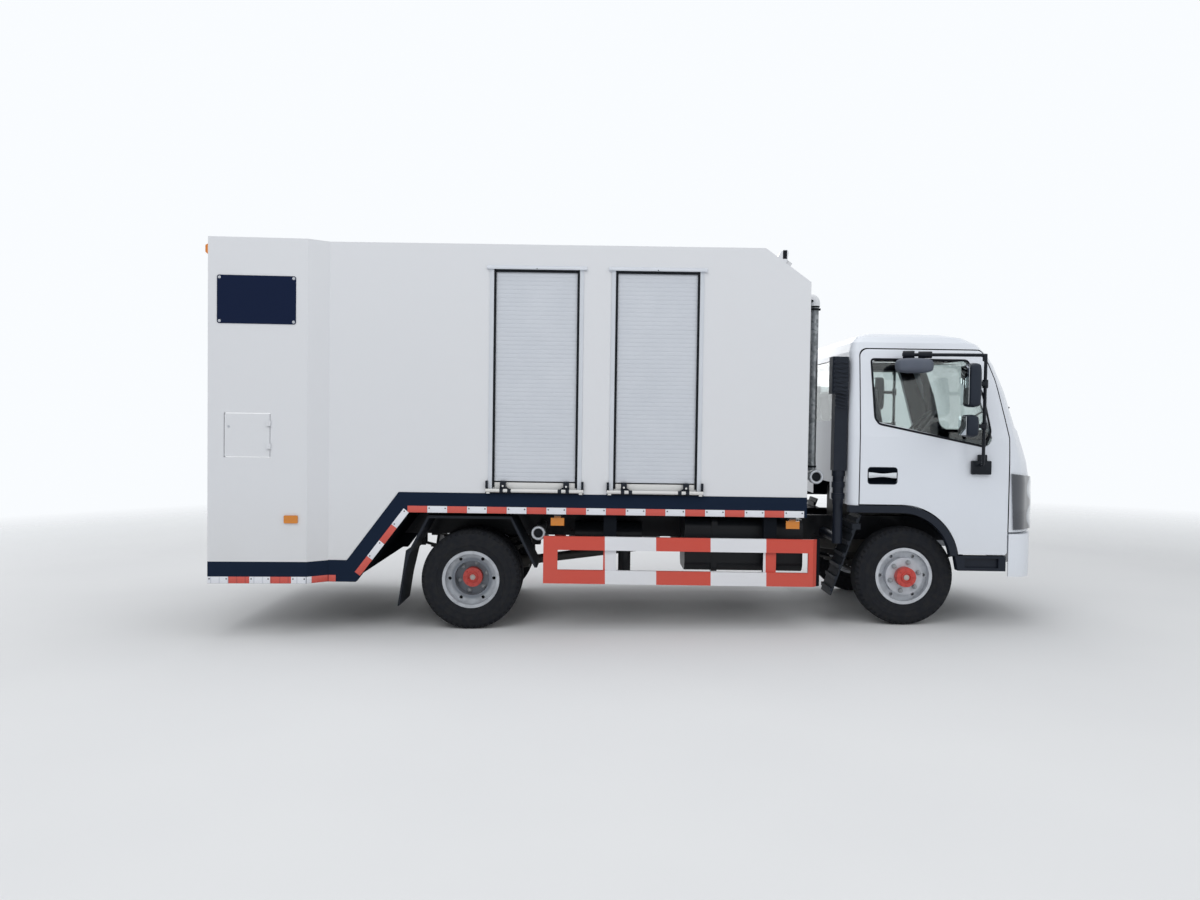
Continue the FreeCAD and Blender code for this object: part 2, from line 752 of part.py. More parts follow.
# Knuckles: a yoke over the end of the beam, the wheel's spindle and the steering arm
arm_y = KINGPIN_SIDE - STEER_ARM_INSET
arm_top = axle_z - half_beam - YOKE_GAP - EAR_HEIGHT / 2
for word, out in (("left", 1), ("right", -1)):
    y = out * KINGPIN_SIDE
    yoke_in = KINGPIN_SIDE + KNUCKLE_BOSS_RADIUS + YOKE_GAP
    yoke_y = sorted((out * yoke_in, out * (yoke_in + YOKE_THICK)))
    ear_y = sorted((y, out * (yoke_in + YOKE_THICK / 2)))
    wide = (front_axle_x - KNUCKLE_BOSS_RADIUS, front_axle_x + KNUCKLE_BOSS_RADIUS)
    low = axle_z - half_beam - YOKE_GAP
    high = axle_z + half_beam + YOKE_GAP
    solids = [block(wide, yoke_y, (low - EAR_HEIGHT, high + EAR_HEIGHT))]
    for z in ((low - EAR_HEIGHT, low), (high, high + EAR_HEIGHT)):
        solids.append(block(wide, ear_y, z))
        solids.append(rod((front_axle_x, y, z[0]), (front_axle_x, y, z[1]), KNUCKLE_BOSS_RADIUS))
    spindle_end = FRONT_WHEEL_SIDE + FRONT_DISC_EDGE + DISC_BULGE + HUB_LENGTH - HUB_CAP_WALL - STUB_CLEAR
    solids.append(rod((front_axle_x, out * yoke_in, axle_z), (front_axle_x, out * spindle_end, axle_z), HUB_BORE))
    arm_z = (arm_top - STEER_ARM_THICK, arm_top)
    half = STEER_ARM_WIDTH / 2
    eye_x = front_axle_x - STEER_ARM_LENGTH
    arm = plan_plate([(front_axle_x, y - half), (front_axle_x, y + half), (eye_x, out * arm_y + half),
                      (eye_x, out * arm_y - half)], arm_z)
    solids.append(arm)
    solids.append(rod((eye_x, out * arm_y, arm_z[0]), (eye_x, out * arm_y, arm_z[1]), STEER_ARM_WIDTH / 2))
    knuckle = fused(solids)
    pin = rod((front_axle_x, y, axle_z - KINGPIN_HEIGHT), (front_axle_x, y, axle_z + KINGPIN_HEIGHT),
              KINGPIN_RADIUS + RUNNING_GAP)
    keep("knuckle_" + word, knuckle.cut(pin), False)

# Track rod under the arms, joining the two knuckles
eye_x = front_axle_x - STEER_ARM_LENGTH
rod_z = arm_top - STEER_ARM_THICK - RUNNING_GAP - ROD_END_HEIGHT / 2
ends = [rod((eye_x, -arm_y, rod_z), (eye_x, arm_y, rod_z), TRACK_ROD_RADIUS)]
for out in (1, -1):
    y = out * arm_y
    ends.append(rod((eye_x, y, rod_z - ROD_END_HEIGHT / 2), (eye_x, y, rod_z + ROD_END_HEIGHT / 2), ROD_END_RADIUS))
keep("track_rod", fused(ends), False)

# Rear axle: tubes, banjo case and pinion nose
tube_end = REAR_TWIN_SIDE - TWIN_SPACING / 2 - DISC_WALL - DRUM_CLEAR - DISC_WALL * 2 - STUB_CLEAR * 2
stub_end = REAR_TWIN_SIDE + DISC_WALL + HUB_LENGTH - HUB_CAP_WALL - STUB_CLEAR
half_profile = [
    (AXLE_CASE_RADIUS, AXLE_CASE_DEPTH / 2), (AXLE_NECK_RADIUS, AXLE_CASE_DEPTH / 2), (AXLE_NECK_RADIUS, AXLE_NECK_END),
    (AXLE_TUBE_RADIUS, AXLE_NECK_END), (AXLE_TUBE_RADIUS, tube_end), (HUB_BORE, tube_end), (HUB_BORE, stub_end), (0, stub_end),
]
profile = [(r, -y) for r, y in reversed(half_profile)] + half_profile
case = turned(profile, (0, 0, axle_z))
nose = rod((0, 0, axle_z), (PINION_NOSE, 0, axle_z), PINION_RADIUS)
axle = [case, nose]
for out in (1, -1):
    y = sorted((out * (SPRING_SIDE - SPRING_WIDTH / 2), out * (SPRING_SIDE + SPRING_WIDTH / 2)))
    axle.append(block((-SPRING_WIDTH, SPRING_WIDTH), y, (axle_z, axle_z + AXLE_TUBE_RADIUS + SPRING_SEAT_HEIGHT)))
keep("rear_axle", fused(axle), False)

# Leaf springs: curved leaves, shorter step by step, eyes at the ends of the longest


def leaf_spring(x, side, seat_z, span):
    """Pack of leaves over an axle, clamped to a seat at its middle."""
    solids = []
    radius = (span ** 2 + SPRING_CAMBER ** 2) / (2 * SPRING_CAMBER)
    hub_z = seat_z + radius
    width = (side - SPRING_WIDTH / 2, side + SPRING_WIDTH / 2)
    for index in range(LEAF_COUNT):
        level = LEAF_COUNT - 1 - index
        half = span * (1 - LEAF_STEP_SHARE * level)
        outer = radius - index * LEAF_THICK
        inner = outer - LEAF_THICK
        angle = math.asin(half / radius)
        outline = []
        points = []
        for r in (outer, inner):
            for turn in (-angle, 0, angle):
                points.append(V(x + r * math.sin(turn), width[0], hub_z - r * math.cos(turn)))
        outline.append(Part.Arc(points[0], points[1], points[2]).toShape())
        outline.append(Part.makeLine(points[2], points[5]))
        outline.append(Part.Arc(points[5], points[4], points[3]).toShape())
        outline.append(Part.makeLine(points[3], points[0]))
        solids.append(Part.Face(Part.Wire(outline)).extrude(V(0, SPRING_WIDTH, 0)))
    main = radius - (LEAF_COUNT - 0.5) * LEAF_THICK
    angle = math.asin(span / radius)
    eye_z = hub_z - main * math.cos(angle)
    for turn in (-1, 1):
        eye = x + turn * main * math.sin(angle)
        solids.append(rod((eye, width[0], eye_z), (eye, width[1], eye_z), SPRING_EYE_RADIUS))
    top = seat_z + LEAF_COUNT * LEAF_THICK
    solids.append(block((x - SPRING_WIDTH, x + SPRING_WIDTH), width, (top - LEAF_THICK, top + LEAF_THICK)))
    return fused(solids), main * math.sin(angle), eye_z


def levelled(x, z):
    """The place in the level drawing of a point on the standing truck."""
    angle = math.radians(-RAKE_DEGREES)
    ahead = x - front_axle_x
    above = z - RAKE_PIVOT_HEIGHT
    return (front_axle_x + ahead * math.cos(angle) + above * math.sin(angle),
            RAKE_PIVOT_HEIGHT - ahead * math.sin(angle) + above * math.cos(angle))


springs = []
spring_eyes = []
front_seat = axle_z - AXLE_DROP + half_beam + RUNNING_GAP
rear_seat = axle_z + AXLE_TUBE_RADIUS + SPRING_SEAT_HEIGHT + RUNNING_GAP
rail_bottom = RAIL_TOP - RAIL_HEIGHT
for x, seat, span in ((front_axle_x, front_seat, FRONT_SPRING_SPAN), (0, rear_seat, REAR_SPRING_SPAN)):
    for out in (1, -1):
        pack, reach, eye_z = leaf_spring(x, out * SPRING_SIDE, seat, span)
        springs.append(pack)
        for turn in (-1, 1):
            spring_eyes.append((x + turn * reach, out, eye_z))
keep("leaf_springs", Part.makeCompound(springs), False)

def step_points(offset):
    """Low and high ends of the sloping step, moved square to it by offset."""
    along_x = step_run / step_length
    along_z = step_rise / step_length
    return (STEP_LOW_X + offset * along_z, STEP_LOW_Z - offset * along_x, along_x / along_z)


def step_line(offset, z):
    """Where the sloping step, moved by offset, reaches height z."""
    x, at, slope = step_points(offset)
    return x + (z - at) * slope


# Chassis frame: two channel rails, cross members, spring hangers and tilt pivots


def rail(out):
    """Channel open to the inside."""
    outer = out * FRAME_SIDE
    web = out * (FRAME_SIDE - RAIL_WALL)
    inner = out * (FRAME_SIDE - RAIL_FLANGE)
    top = RAIL_TOP
    points = [(outer, top), (outer, rail_bottom), (inner, rail_bottom), (inner, rail_bottom + RAIL_WALL),
              (web, rail_bottom + RAIL_WALL), (web, top - RAIL_WALL), (inner, top - RAIL_WALL), (inner, top)]
    return cross_plate(points, (FRAME_REAR, FRAME_FRONT))


frame = [rail(1), rail(-1)]
inside = FRAME_SIDE - RAIL_WALL
for place in CROSS_MEMBER_PLACES:
    middle = (RAIL_TOP + rail_bottom) / 2
    z = (middle - CROSS_MEMBER_HEIGHT / 2, middle + CROSS_MEMBER_HEIGHT / 2)
    channel = block((place, place + CROSS_MEMBER_DEPTH), (-inside, inside), z)
    hollow = block((place + RAIL_WALL, place + CROSS_MEMBER_DEPTH + OVERRUN), (-inside + RAIL_FLANGE, inside - RAIL_FLANGE),
                   (z[0] + RAIL_WALL, z[1] - RAIL_WALL))
    frame.append(channel.cut(hollow))
fork = SPRING_WIDTH / 2 + RUNNING_GAP
for x, out, z in spring_eyes:
    place, eye_z = levelled(x, z)
    low = eye_z - SPRING_EYE_RADIUS
    across = (place - SPRING_EYE_RADIUS * 1.4, place + SPRING_EYE_RADIUS * 1.4)
    y = sorted((out * (SPRING_SIDE - fork - HANGER_THICK), out * (SPRING_SIDE + fork + HANGER_THICK)))
    slot = sorted((out * (SPRING_SIDE - fork), out * (SPRING_SIDE + fork)))
    hanger = block(across, y, (low, rail_bottom + RAIL_WALL))
    frame.append(hanger.cut(block((across[0] - OVERRUN, across[1] + OVERRUN), slot, (low - OVERRUN, rail_bottom - HANGER_THICK / 2))))
pivot_x = cab_pivot_x
for out in (1, -1):
    near = out * (FRAME_SIDE - RAIL_WALL)
    far = out * (TILT_ARM_SIDE - TILT_ARM_THICK / 2 - RAIL_WALL)
    y = sorted((near, far))
    plate = [(FRAME_FRONT - PIVOT_PLATE_LENGTH, rail_bottom), (FRAME_FRONT - PIVOT_PLATE_LENGTH, RAIL_TOP - RAIL_FLANGE),
             (FRAME_FRONT, RAIL_TOP - RAIL_FLANGE), (pivot_x + TILT_PIN_RADIUS, PIVOT_HEIGHT + TILT_PIN_RADIUS * 2, TILT_PIN_RADIUS),
             (pivot_x + TILT_PIN_RADIUS * 2, PIVOT_HEIGHT - TILT_PIN_RADIUS * 2, TILT_PIN_RADIUS),
             (pivot_x - TILT_PIN_RADIUS * 2, PIVOT_HEIGHT - TILT_PIN_RADIUS * 2, TILT_PIN_RADIUS)]
    frame.append(side_plate(plate, y))
    far_end = out * (TILT_ARM_SIDE + TILT_ARM_THICK / 2)
    frame.append(rod((pivot_x, near, PIVOT_HEIGHT), (pivot_x, far_end, PIVOT_HEIGHT), TILT_PIN_RADIUS))
step_space = side_plate([(step_line(SILL_DEPTH + FRAME_END_CLEAR, rail_bottom - HANGER_LENGTH), rail_bottom - HANGER_LENGTH),
                         (step_line(SILL_DEPTH + FRAME_END_CLEAR, RAIL_TOP + HANGER_LENGTH), RAIL_TOP + HANGER_LENGTH),
                         (FRAME_REAR - HANGER_LENGTH, RAIL_TOP + HANGER_LENGTH), (FRAME_REAR - HANGER_LENGTH, rail_bottom - HANGER_LENGTH)],
                        (-BODY_SIDE, BODY_SIDE))
keep("chassis_frame", fused(frame).cut(step_space))

# Engine block, gearbox and propeller shaft
engine = side_plate(rectangle((ENGINE_REAR, ENGINE_REAR + ENGINE_LENGTH), (ENGINE_BOTTOM, ENGINE_BOTTOM + ENGINE_HEIGHT),
                              DISC_BULGE), (-ENGINE_WIDTH / 2, ENGINE_WIDTH / 2))
gearbox = Part.makeCone(GEARBOX_TAIL_RADIUS, GEARBOX_RADIUS, GEARBOX_LENGTH,
                        V(ENGINE_REAR - GEARBOX_LENGTH, 0, GEARBOX_HEIGHT), V(1, 0, 0))
power = fused([engine, gearbox])
tail_x, tail_z = tipped(ENGINE_REAR - GEARBOX_LENGTH - STUB_CLEAR, GEARBOX_HEIGHT)
shaft_start = V(tail_x, 0, tail_z)
nose_x, nose_z = PINION_NOSE + RUNNING_GAP, axle_z
shaft_end = V(nose_x, 0, nose_z)
run = shaft_start - shaft_end
run.normalize()
shaft = [Part.makeCylinder(PROP_SHAFT_RADIUS, (shaft_start - shaft_end).Length - PROP_JOINT_LENGTH * 2,
                           shaft_end + run * PROP_JOINT_LENGTH, run)]
lean_in = V(PROP_JOINT_RADIUS * abs(run.z), 0, 0)
shaft.append(Part.makeCylinder(PROP_JOINT_RADIUS, PROP_JOINT_LENGTH * 2, shaft_end + lean_in, run))
shaft.append(Part.makeCylinder(PROP_JOINT_RADIUS, PROP_JOINT_LENGTH * 2, shaft_start - lean_in, run * -1))
power.rotate(V(front_axle_x, 0, RAKE_PIVOT_HEIGHT), V(0, 1, 0), RAKE_DEGREES)
keep("drive_train", Part.makeCompound([power, fused(shaft)]), False)

# Fuel tank on the right with its straps, battery box on the left
tank_z = (FUEL_TANK_TOP - FUEL_TANK_HEIGHT, FUEL_TANK_TOP)
tank_y = (-TANK_OUTER_SIDE, -TANK_OUTER_SIDE + FUEL_TANK_WIDTH)
tank_x = (FUEL_TANK_REAR, FUEL_TANK_REAR + FUEL_TANK_LENGTH)
tank = [cross_plate(rectangle(tank_y, tank_z, FUEL_TANK_ROUND), tank_x)]
for share in (0.25, 0.75):
    x = FUEL_TANK_REAR + FUEL_TANK_LENGTH * share
    band = rectangle((tank_y[0] - STRAP_THICK, -FRAME_SIDE - RUNNING_GAP), (tank_z[0] - STRAP_THICK, tank_z[1] + STRAP_THICK),
                     FUEL_TANK_ROUND / 2)
    tank.append(cross_plate(band, (x - STRAP_WIDTH / 2, x + STRAP_WIDTH / 2)))
keep("fuel_tank", fused(tank))
battery_y = (FRAME_SIDE + RUNNING_GAP, FRAME_SIDE + BATTERY_DEPTH)
battery_z = (BATTERY_BOTTOM, BATTERY_BOTTOM + BATTERY_HEIGHT)
box = cross_plate(rectangle(battery_y, battery_z, STRAP_WIDTH / 2), (BATTERY_REAR, BATTERY_REAR + BATTERY_LENGTH))
lid = block((BATTERY_REAR - HANGER_THICK, BATTERY_REAR + BATTERY_LENGTH + HANGER_THICK),
            (battery_y[0], battery_y[1] + HANGER_THICK), (battery_z[1] - STRAP_WIDTH, battery_z[1] + HANGER_THICK))
keep("battery_box", fused([box, lid]))

# Exhaust on the left: muffler, pipes from the engine and a tail pipe, hung from the rail
muffler_x = (MUFFLER_REAR, MUFFLER_REAR + MUFFLER_LENGTH)
exhaust = [rod((muffler_x[0], MUFFLER_SIDE, MUFFLER_CENTRE), (muffler_x[1], MUFFLER_SIDE, MUFFLER_CENTRE), MUFFLER_RADIUS)]
exhaust.append(rod((muffler_x[1] - OVERRUN, MUFFLER_SIDE, MUFFLER_CENTRE),
                   (muffler_x[1] + MUFFLER_RADIUS, MUFFLER_SIDE, MUFFLER_CENTRE), EXHAUST_PIPE_RADIUS))
exhaust.append(rod((muffler_x[1] + MUFFLER_RADIUS, MUFFLER_SIDE, MUFFLER_CENTRE),
                   (muffler_x[1] + MUFFLER_RADIUS, FRAME_SIDE - RAIL_FLANGE, MUFFLER_CENTRE), EXHAUST_PIPE_RADIUS))
exhaust.append(rod((muffler_x[1] + MUFFLER_RADIUS, FRAME_SIDE - RAIL_FLANGE, MUFFLER_CENTRE),
                   (ENGINE_REAR + OVERRUN, ENGINE_WIDTH / 2 - EXHAUST_PIPE_RADIUS, MUFFLER_CENTRE), EXHAUST_PIPE_RADIUS))
exhaust.append(rod((muffler_x[0] - MUFFLER_RADIUS, MUFFLER_SIDE, MUFFLER_CENTRE),
                   (muffler_x[0] + OVERRUN, MUFFLER_SIDE, MUFFLER_CENTRE), EXHAUST_PIPE_RADIUS))
exhaust.append(rod((muffler_x[0] - MUFFLER_RADIUS, MUFFLER_SIDE, MUFFLER_CENTRE),
                   (muffler_x[0] - MUFFLER_RADIUS, TANK_OUTER_SIDE, MUFFLER_CENTRE), EXHAUST_PIPE_RADIUS))
for x in muffler_x:
    near = FRAME_SIDE + RUNNING_GAP
    exhaust.append(block((x - HANGER_THICK, x + HANGER_THICK), (near, MUFFLER_SIDE), (MUFFLER_CENTRE, MUFFLER_CENTRE + MUFFLER_RADIUS)))
pipework = fused(exhaust)
keep("exhaust", pipework.cut(block((ENGINE_REAR - RUNNING_GAP, ENGINE_REAR + ENGINE_LENGTH), (-ENGINE_WIDTH, ENGINE_WIDTH),
                                   (ENGINE_BOTTOM - OVERRUN, RAIL_TOP))))

# Air tank along the right rail, with the filter canister hung beside it
air_y = -AIR_TANK_SIDE
air = [rod((AIR_TANK_REAR, air_y, AIR_TANK_CENTRE), (AIR_TANK_REAR + AIR_TANK_LENGTH, air_y, AIR_TANK_CENTRE), AIR_TANK_RADIUS)]
for share in (0.2, 0.8):
    x = AIR_TANK_REAR + AIR_TANK_LENGTH * share
    air.append(block((x - HANGER_THICK, x + HANGER_THICK), (air_y, -FRAME_SIDE - RUNNING_GAP),
                     (AIR_TANK_CENTRE - AIR_TANK_RADIUS / 2, AIR_TANK_CENTRE + AIR_TANK_RADIUS / 2)))
air.append(rod((CANISTER_X, -CANISTER_SIDE, CANISTER_BOTTOM), (CANISTER_X, -CANISTER_SIDE, CANISTER_TOP), CANISTER_RADIUS))
keep("air_tank", fused(air))

# Body box: outer skin with its stepped underside, hollowed into machine room and wash chamber


inner_side = BODY_SIDE - BODY_WALL
roof_under = BODY_ROOF - BODY_WALL
shell_outline = [
    (BEVEL_FRONT, REAR_LOW + SILL_THICK), (step_line(SILL_DEPTH, REAR_LOW + SILL_THICK), REAR_LOW + SILL_THICK),
    (step_line(SILL_DEPTH, FLOOR_UNDER), FLOOR_UNDER), (BODY_FRONT, FLOOR_UNDER),
    (BODY_FRONT, BODY_ROOF - CHAMFER_DROP), (BODY_FRONT - CHAMFER_LENGTH, BODY_ROOF), (BEVEL_FRONT, BODY_ROOF),
]
shell = side_plate(shell_outline, (-BODY_SIDE, BODY_SIDE))
under = SILL_DEPTH - BODY_WALL
chamber_outline = [
    (BEVEL_FRONT - OVERRUN, REAR_LOW + SILL_THICK + BODY_WALL),
    (step_line(under, REAR_LOW + SILL_THICK + BODY_WALL), REAR_LOW + SILL_THICK + BODY_WALL),
    (BULKHEAD_X - BODY_WALL, FLOOR_TOP), (BULKHEAD_X - BODY_WALL, roof_under), (BEVEL_FRONT - OVERRUN, roof_under),
]
room_outline = [
    (BULKHEAD_X, FLOOR_TOP), (BODY_FRONT - BODY_WALL, FLOOR_TOP),
    (BODY_FRONT - BODY_WALL, BODY_ROOF - CHAMFER_DROP - BODY_WALL / 2),
    (BODY_FRONT - CHAMFER_LENGTH - BODY_WALL / 2, roof_under), (BULKHEAD_X, roof_under),
]
shell = shell.cut(side_plate(chamber_outline, (-inner_side, inner_side)))
shell = shell.cut(side_plate(room_outline, (-inner_side, inner_side)))


def shutter_span(index):
    """Rear and front edge of a shutter's opening."""
    half = SHUTTER_WIDTHS[index] / 2 + GUIDE_WIDTH
    return (SHUTTER_CENTRES[index] - half, SHUTTER_CENTRES[index] + half)


opening_z = (SHUTTER_BOTTOM - SILL_BAR_HEIGHT, SHUTTER_TOP)
for index in range(len(SHUTTER_CENTRES)):
    shell = shell.cut(block(shutter_span(index), (-BODY_SIDE - OVERRUN, BODY_SIDE + OVERRUN), opening_z))
keep("box_shell", shell)

# Sill along both sides: straight rail, sloping step and the low rear run


def sill_outline(rear):
    """Outline of the sill from the given rear end to the front of the body."""
    return [
        (rear, STEP_LOW_Z), (STEP_LOW_X, STEP_LOW_Z), (STEP_HIGH_X, FLOOR_TOP), (BODY_FRONT, FLOOR_TOP),
        (BODY_FRONT, FLOOR_TOP - SILL_DEPTH), (step_line(SILL_DEPTH, FLOOR_TOP - SILL_DEPTH), FLOOR_TOP - SILL_DEPTH),
        (step_line(SILL_DEPTH, REAR_LOW), REAR_LOW), (rear, REAR_LOW),
    ]


sill = side_plate(sill_outline(BEVEL_FRONT), (BODY_SIDE + RUNNING_GAP, BODY_SIDE + RUNNING_GAP + STRAP_THICK))
flange_in = side_plate([
    (BEVEL_FRONT, REAR_LOW + SILL_THICK - RUNNING_GAP), (step_line(SILL_DEPTH + RUNNING_GAP, REAR_LOW + SILL_THICK), REAR_LOW + SILL_THICK - RUNNING_GAP),
    (step_line(SILL_DEPTH, REAR_LOW), REAR_LOW), (BEVEL_FRONT, REAR_LOW),
], (BODY_SIDE - SILL_THICK, BODY_SIDE + RUNNING_GAP + STRAP_THICK))
lip = block((step_line(SILL_DEPTH, FLOOR_UNDER) + RUNNING_GAP, BODY_FRONT),
            (BODY_SIDE - SILL_THICK, BODY_SIDE + RUNNING_GAP + STRAP_THICK), (FLOOR_TOP - SILL_DEPTH, FLOOR_UNDER - RUNNING_GAP))
keep("body_sill", both_sides(fused([sill, flange_in, lip])))

# Rear housing: bevelled and flared surround of the wash chamber, open to the rear


def housing_plan(wall):
    """Half plan outlines of the housing's outside, moved in by wall, as (x, y)."""
    return [(BEVEL_FRONT, BODY_SIDE - wall), (BEVEL_REAR, bevel_side - wall), (TAIL_X, tail_side - wall)]


def mirrored_plan(half):
    """Closed outline from one side's points and their mirror images."""
    return half + [(x, -y) for x, y in reversed(half)]


housing = plan_plate(mirrored_plan(housing_plan(0)), (REAR_LOW, BODY_ROOF))
hollow = housing_plan(HOUSING_WALL)
hollow[0] = (BEVEL_FRONT + OVERRUN, BODY_SIDE - HOUSING_WALL)
hollow[2] = (TAIL_X + TAIL_POST_DEPTH, hollow[2][1])
housing = housing.cut(plan_plate(mirrored_plan(hollow), (REAR_LOW + SILL_THICK + BODY_WALL, roof_under)))
mouth_side = tail_side - TAIL_POST - HOUSING_WALL
housing = housing.cut(block((TAIL_X - OVERRUN, TAIL_X + TAIL_POST_DEPTH + OVERRUN), (-mouth_side, mouth_side),
                            (REAR_LOW + SILL_THICK + BODY_WALL, BODY_ROOF - TAIL_HEADER_DROP)))
flare_run = TAIL_X - BEVEL_REAR
flare_angle = math.degrees(math.atan2(TAIL_FLARE, -flare_run))


def flare_side(x):
    """Outer side of the housing at x, behind the bevel."""
    return bevel_side + TAIL_FLARE * (x - BEVEL_REAR) / flare_run


def on_flare(shape, x, out):
    """Turn a piece drawn at the outer side at x to lie on the flared side."""
    shape.rotate(V(x, out * flare_side(x), 0), V(0, 0, 1), -out * flare_angle)
    return shape


def hatch_block(grow, y):
    """Block of the small side hatch's outline at the right side, grown all round."""
    base = -flare_side(HATCH_REAR)
    points = rectangle((HATCH_REAR - grow, HATCH_REAR + HATCH_LENGTH + grow),
                       (HATCH_BOTTOM - grow, HATCH_BOTTOM + HATCH_HEIGHT + grow))
    return on_flare(side_plate(points, (base + y[0], base + y[1])), HATCH_REAR, -1)


housing = housing.cut(hatch_block(HATCH_GAP, (-OVERRUN, HOUSING_WALL + OVERRUN)))
keep("rear_housing", housing)

# Small side hatch on hinges at its front edge
hatch = hatch_block(0, (0, HATCH_THICK))
hinge_x = HATCH_REAR + HATCH_LENGTH + HATCH_GAP
hinge_turn = math.radians(flare_angle)
hinge_run = hinge_x - HATCH_REAR
hinge_point = (HATCH_REAR + hinge_run * math.cos(hinge_turn) - HINGE_OUT * math.sin(hinge_turn),
               -flare_side(HATCH_REAR) + hinge_run * math.sin(hinge_turn) - HINGE_OUT * math.cos(hinge_turn))
knuckles = []
for share in (0.25, 0.78):
    z = HATCH_BOTTOM + HATCH_HEIGHT * share
    knuckles.append(rod((hinge_point[0], hinge_point[1], z - HINGE_LENGTH / 2), (hinge_point[0], hinge_point[1], z + HINGE_LENGTH / 2), HINGE_RADIUS))
    base = -flare_side(HATCH_REAR)
    leaf = block((HATCH_REAR + HATCH_LENGTH - HINGE_LENGTH / 2, hinge_x - RUNNING_GAP), (base - HINGE_OUT - HINGE_RADIUS / 2, base + HINGE_RADIUS / 2),
                 (z - HINGE_LENGTH / 2, z + HINGE_LENGTH / 2))
    knuckles.append(on_flare(leaf, HATCH_REAR, -1))
keep("side_hatch", fused([hatch] + knuckles))

# Bolted dark panels high on both sides of the housing
panel_points = rectangle((PANEL_REAR, PANEL_REAR + PANEL_LENGTH), (PANEL_BOTTOM, PANEL_BOTTOM + PANEL_HEIGHT), PANEL_ROUND)
base = flare_side(PANEL_REAR) + RUNNING_GAP
panel = on_flare(side_plate(panel_points, (base, base + PANEL_THICK)), PANEL_REAR, 1)
keep("side_panels", both_sides(panel))

# Bearers between the chassis rails and the body floor
bearers = []
lift = (RAIL_TOP + RUNNING_GAP, FLOOR_UNDER - RUNNING_GAP)
for out in (1, -1):
    y = sorted((out * FRAME_SIDE, out * (FRAME_SIDE - RAIL_FLANGE)))
    bearers.append(block((step_line(SILL_DEPTH, FLOOR_UNDER) + FRAME_END_CLEAR, BODY_FRONT), y, lift))
for index in range(BEARER_COUNT):
    x = BEARER_FIRST + BEARER_PITCH * index
    bearers.append(block((x, x + BEARER_WIDTH), (-BODY_SIDE + SILL_THICK + RUNNING_GAP, BODY_SIDE - SILL_THICK - RUNNING_GAP),
                         (lift[1] - BEARER_HEIGHT, lift[1])))
keep("body_bearers", fused(bearers))

# Roller shutters: guide frames with the roll's box, slatted curtains and hand rails


def shutter_frame(index):
    """Guides, header, sill bar and roll box of one shutter on the left side."""
    rear, front = shutter_span(index)
    outer = BODY_SIDE + GUIDE_PROUD
    inner = outer - GUIDE_DEPTH
    rear = rear + RUNNING_GAP
    front = front - RUNNING_GAP
    low = opening_z[0] + RUNNING_GAP
    top = opening_z[1] - RUNNING_GAP
    solids = []
    slot = (outer - GUIDE_LIP - SLAT_THICK * 2, outer - GUIDE_LIP)
    for edge, turn in ((rear, 1), (front, -1)):
        x = sorted((edge, edge + turn * (GUIDE_WIDTH - RUNNING_GAP)))
        guide = block(x, (inner, outer), (low, top))
        slot_x = sorted((edge + turn * (GUIDE_WIDTH - SLOT_DEPTH), edge + turn * (GUIDE_WIDTH + OVERRUN)))
        solids.append(guide.cut(block(slot_x, slot, (SHUTTER_BOTTOM, top + OVERRUN))))
    solids.append(block((rear, front), (inner, outer), (low, SHUTTER_BOTTOM)))
    solids.append(block((rear - HEADER_EXTRA, front + HEADER_EXTRA), (BODY_SIDE + RUNNING_GAP, outer + SILL_BAR_PROUD),
                        (low, SHUTTER_BOTTOM - RUNNING_GAP)))
    head = [(BODY_SIDE + RUNNING_GAP, top - HEADER_HEIGHT / 3), (outer, top - HEADER_HEIGHT / 3),
            (BODY_SIDE + HEADER_PROUD, top - HEADER_HEIGHT / 3), (BODY_SIDE + HEADER_PROUD, top),
            (BODY_SIDE + RUNNING_GAP, top + HEADER_HEIGHT * 2 / 3)]
    solids.append(cross_plate([head[0], head[2], head[3], head[4]], (rear - HEADER_EXTRA, front + HEADER_EXTRA)))
    solids.append(block((rear, front), (slot[1], outer), (top - HEADER_HEIGHT, top)))
    roll = block((rear, front), (inner - DRUM_BOX, slot[0]), (top - DRUM_BOX, top))
    hollow_x = (rear + GUIDE_WIDTH, front - GUIDE_WIDTH)
    roll = roll.cut(block(hollow_x, (inner - DRUM_BOX + DRUM_BOX_WALL, slot[0] + OVERRUN),
                          (top - DRUM_BOX - OVERRUN, top - DRUM_BOX_WALL)))
    solids.append(roll)
    return fused(solids)


def curtain(index):
    """Slatted curtain between the guides, each slat with a raised crown."""
    half = SHUTTER_WIDTHS[index] / 2 + SLOT_DEPTH - CURTAIN_GAP
    face = BODY_SIDE + GUIDE_PROUD - GUIDE_LIP - CURTAIN_GAP
    low = SHUTTER_BOTTOM + HAND_RAIL_HEIGHT + RUNNING_GAP
    top = SHUTTER_TOP - DRUM_BOX_WALL * 2
    pitch = (top - low) / SLAT_COUNT
    front_side = []
    for slat in range(SLAT_COUNT):
        z = low + slat * pitch
        front_side.append((face - SLAT_CROWN, z))
        front_side.append((face, z + pitch * 0.3))
        front_side.append((face, z + pitch * 0.8))
    front_side.append((face - SLAT_CROWN, top))
    back = [(face - SLAT_CROWN - SLAT_THICK, top), (face - SLAT_CROWN - SLAT_THICK, low)]
    return cross_plate(front_side + back, (SHUTTER_CENTRES[index] - half, SHUTTER_CENTRES[index] + half))


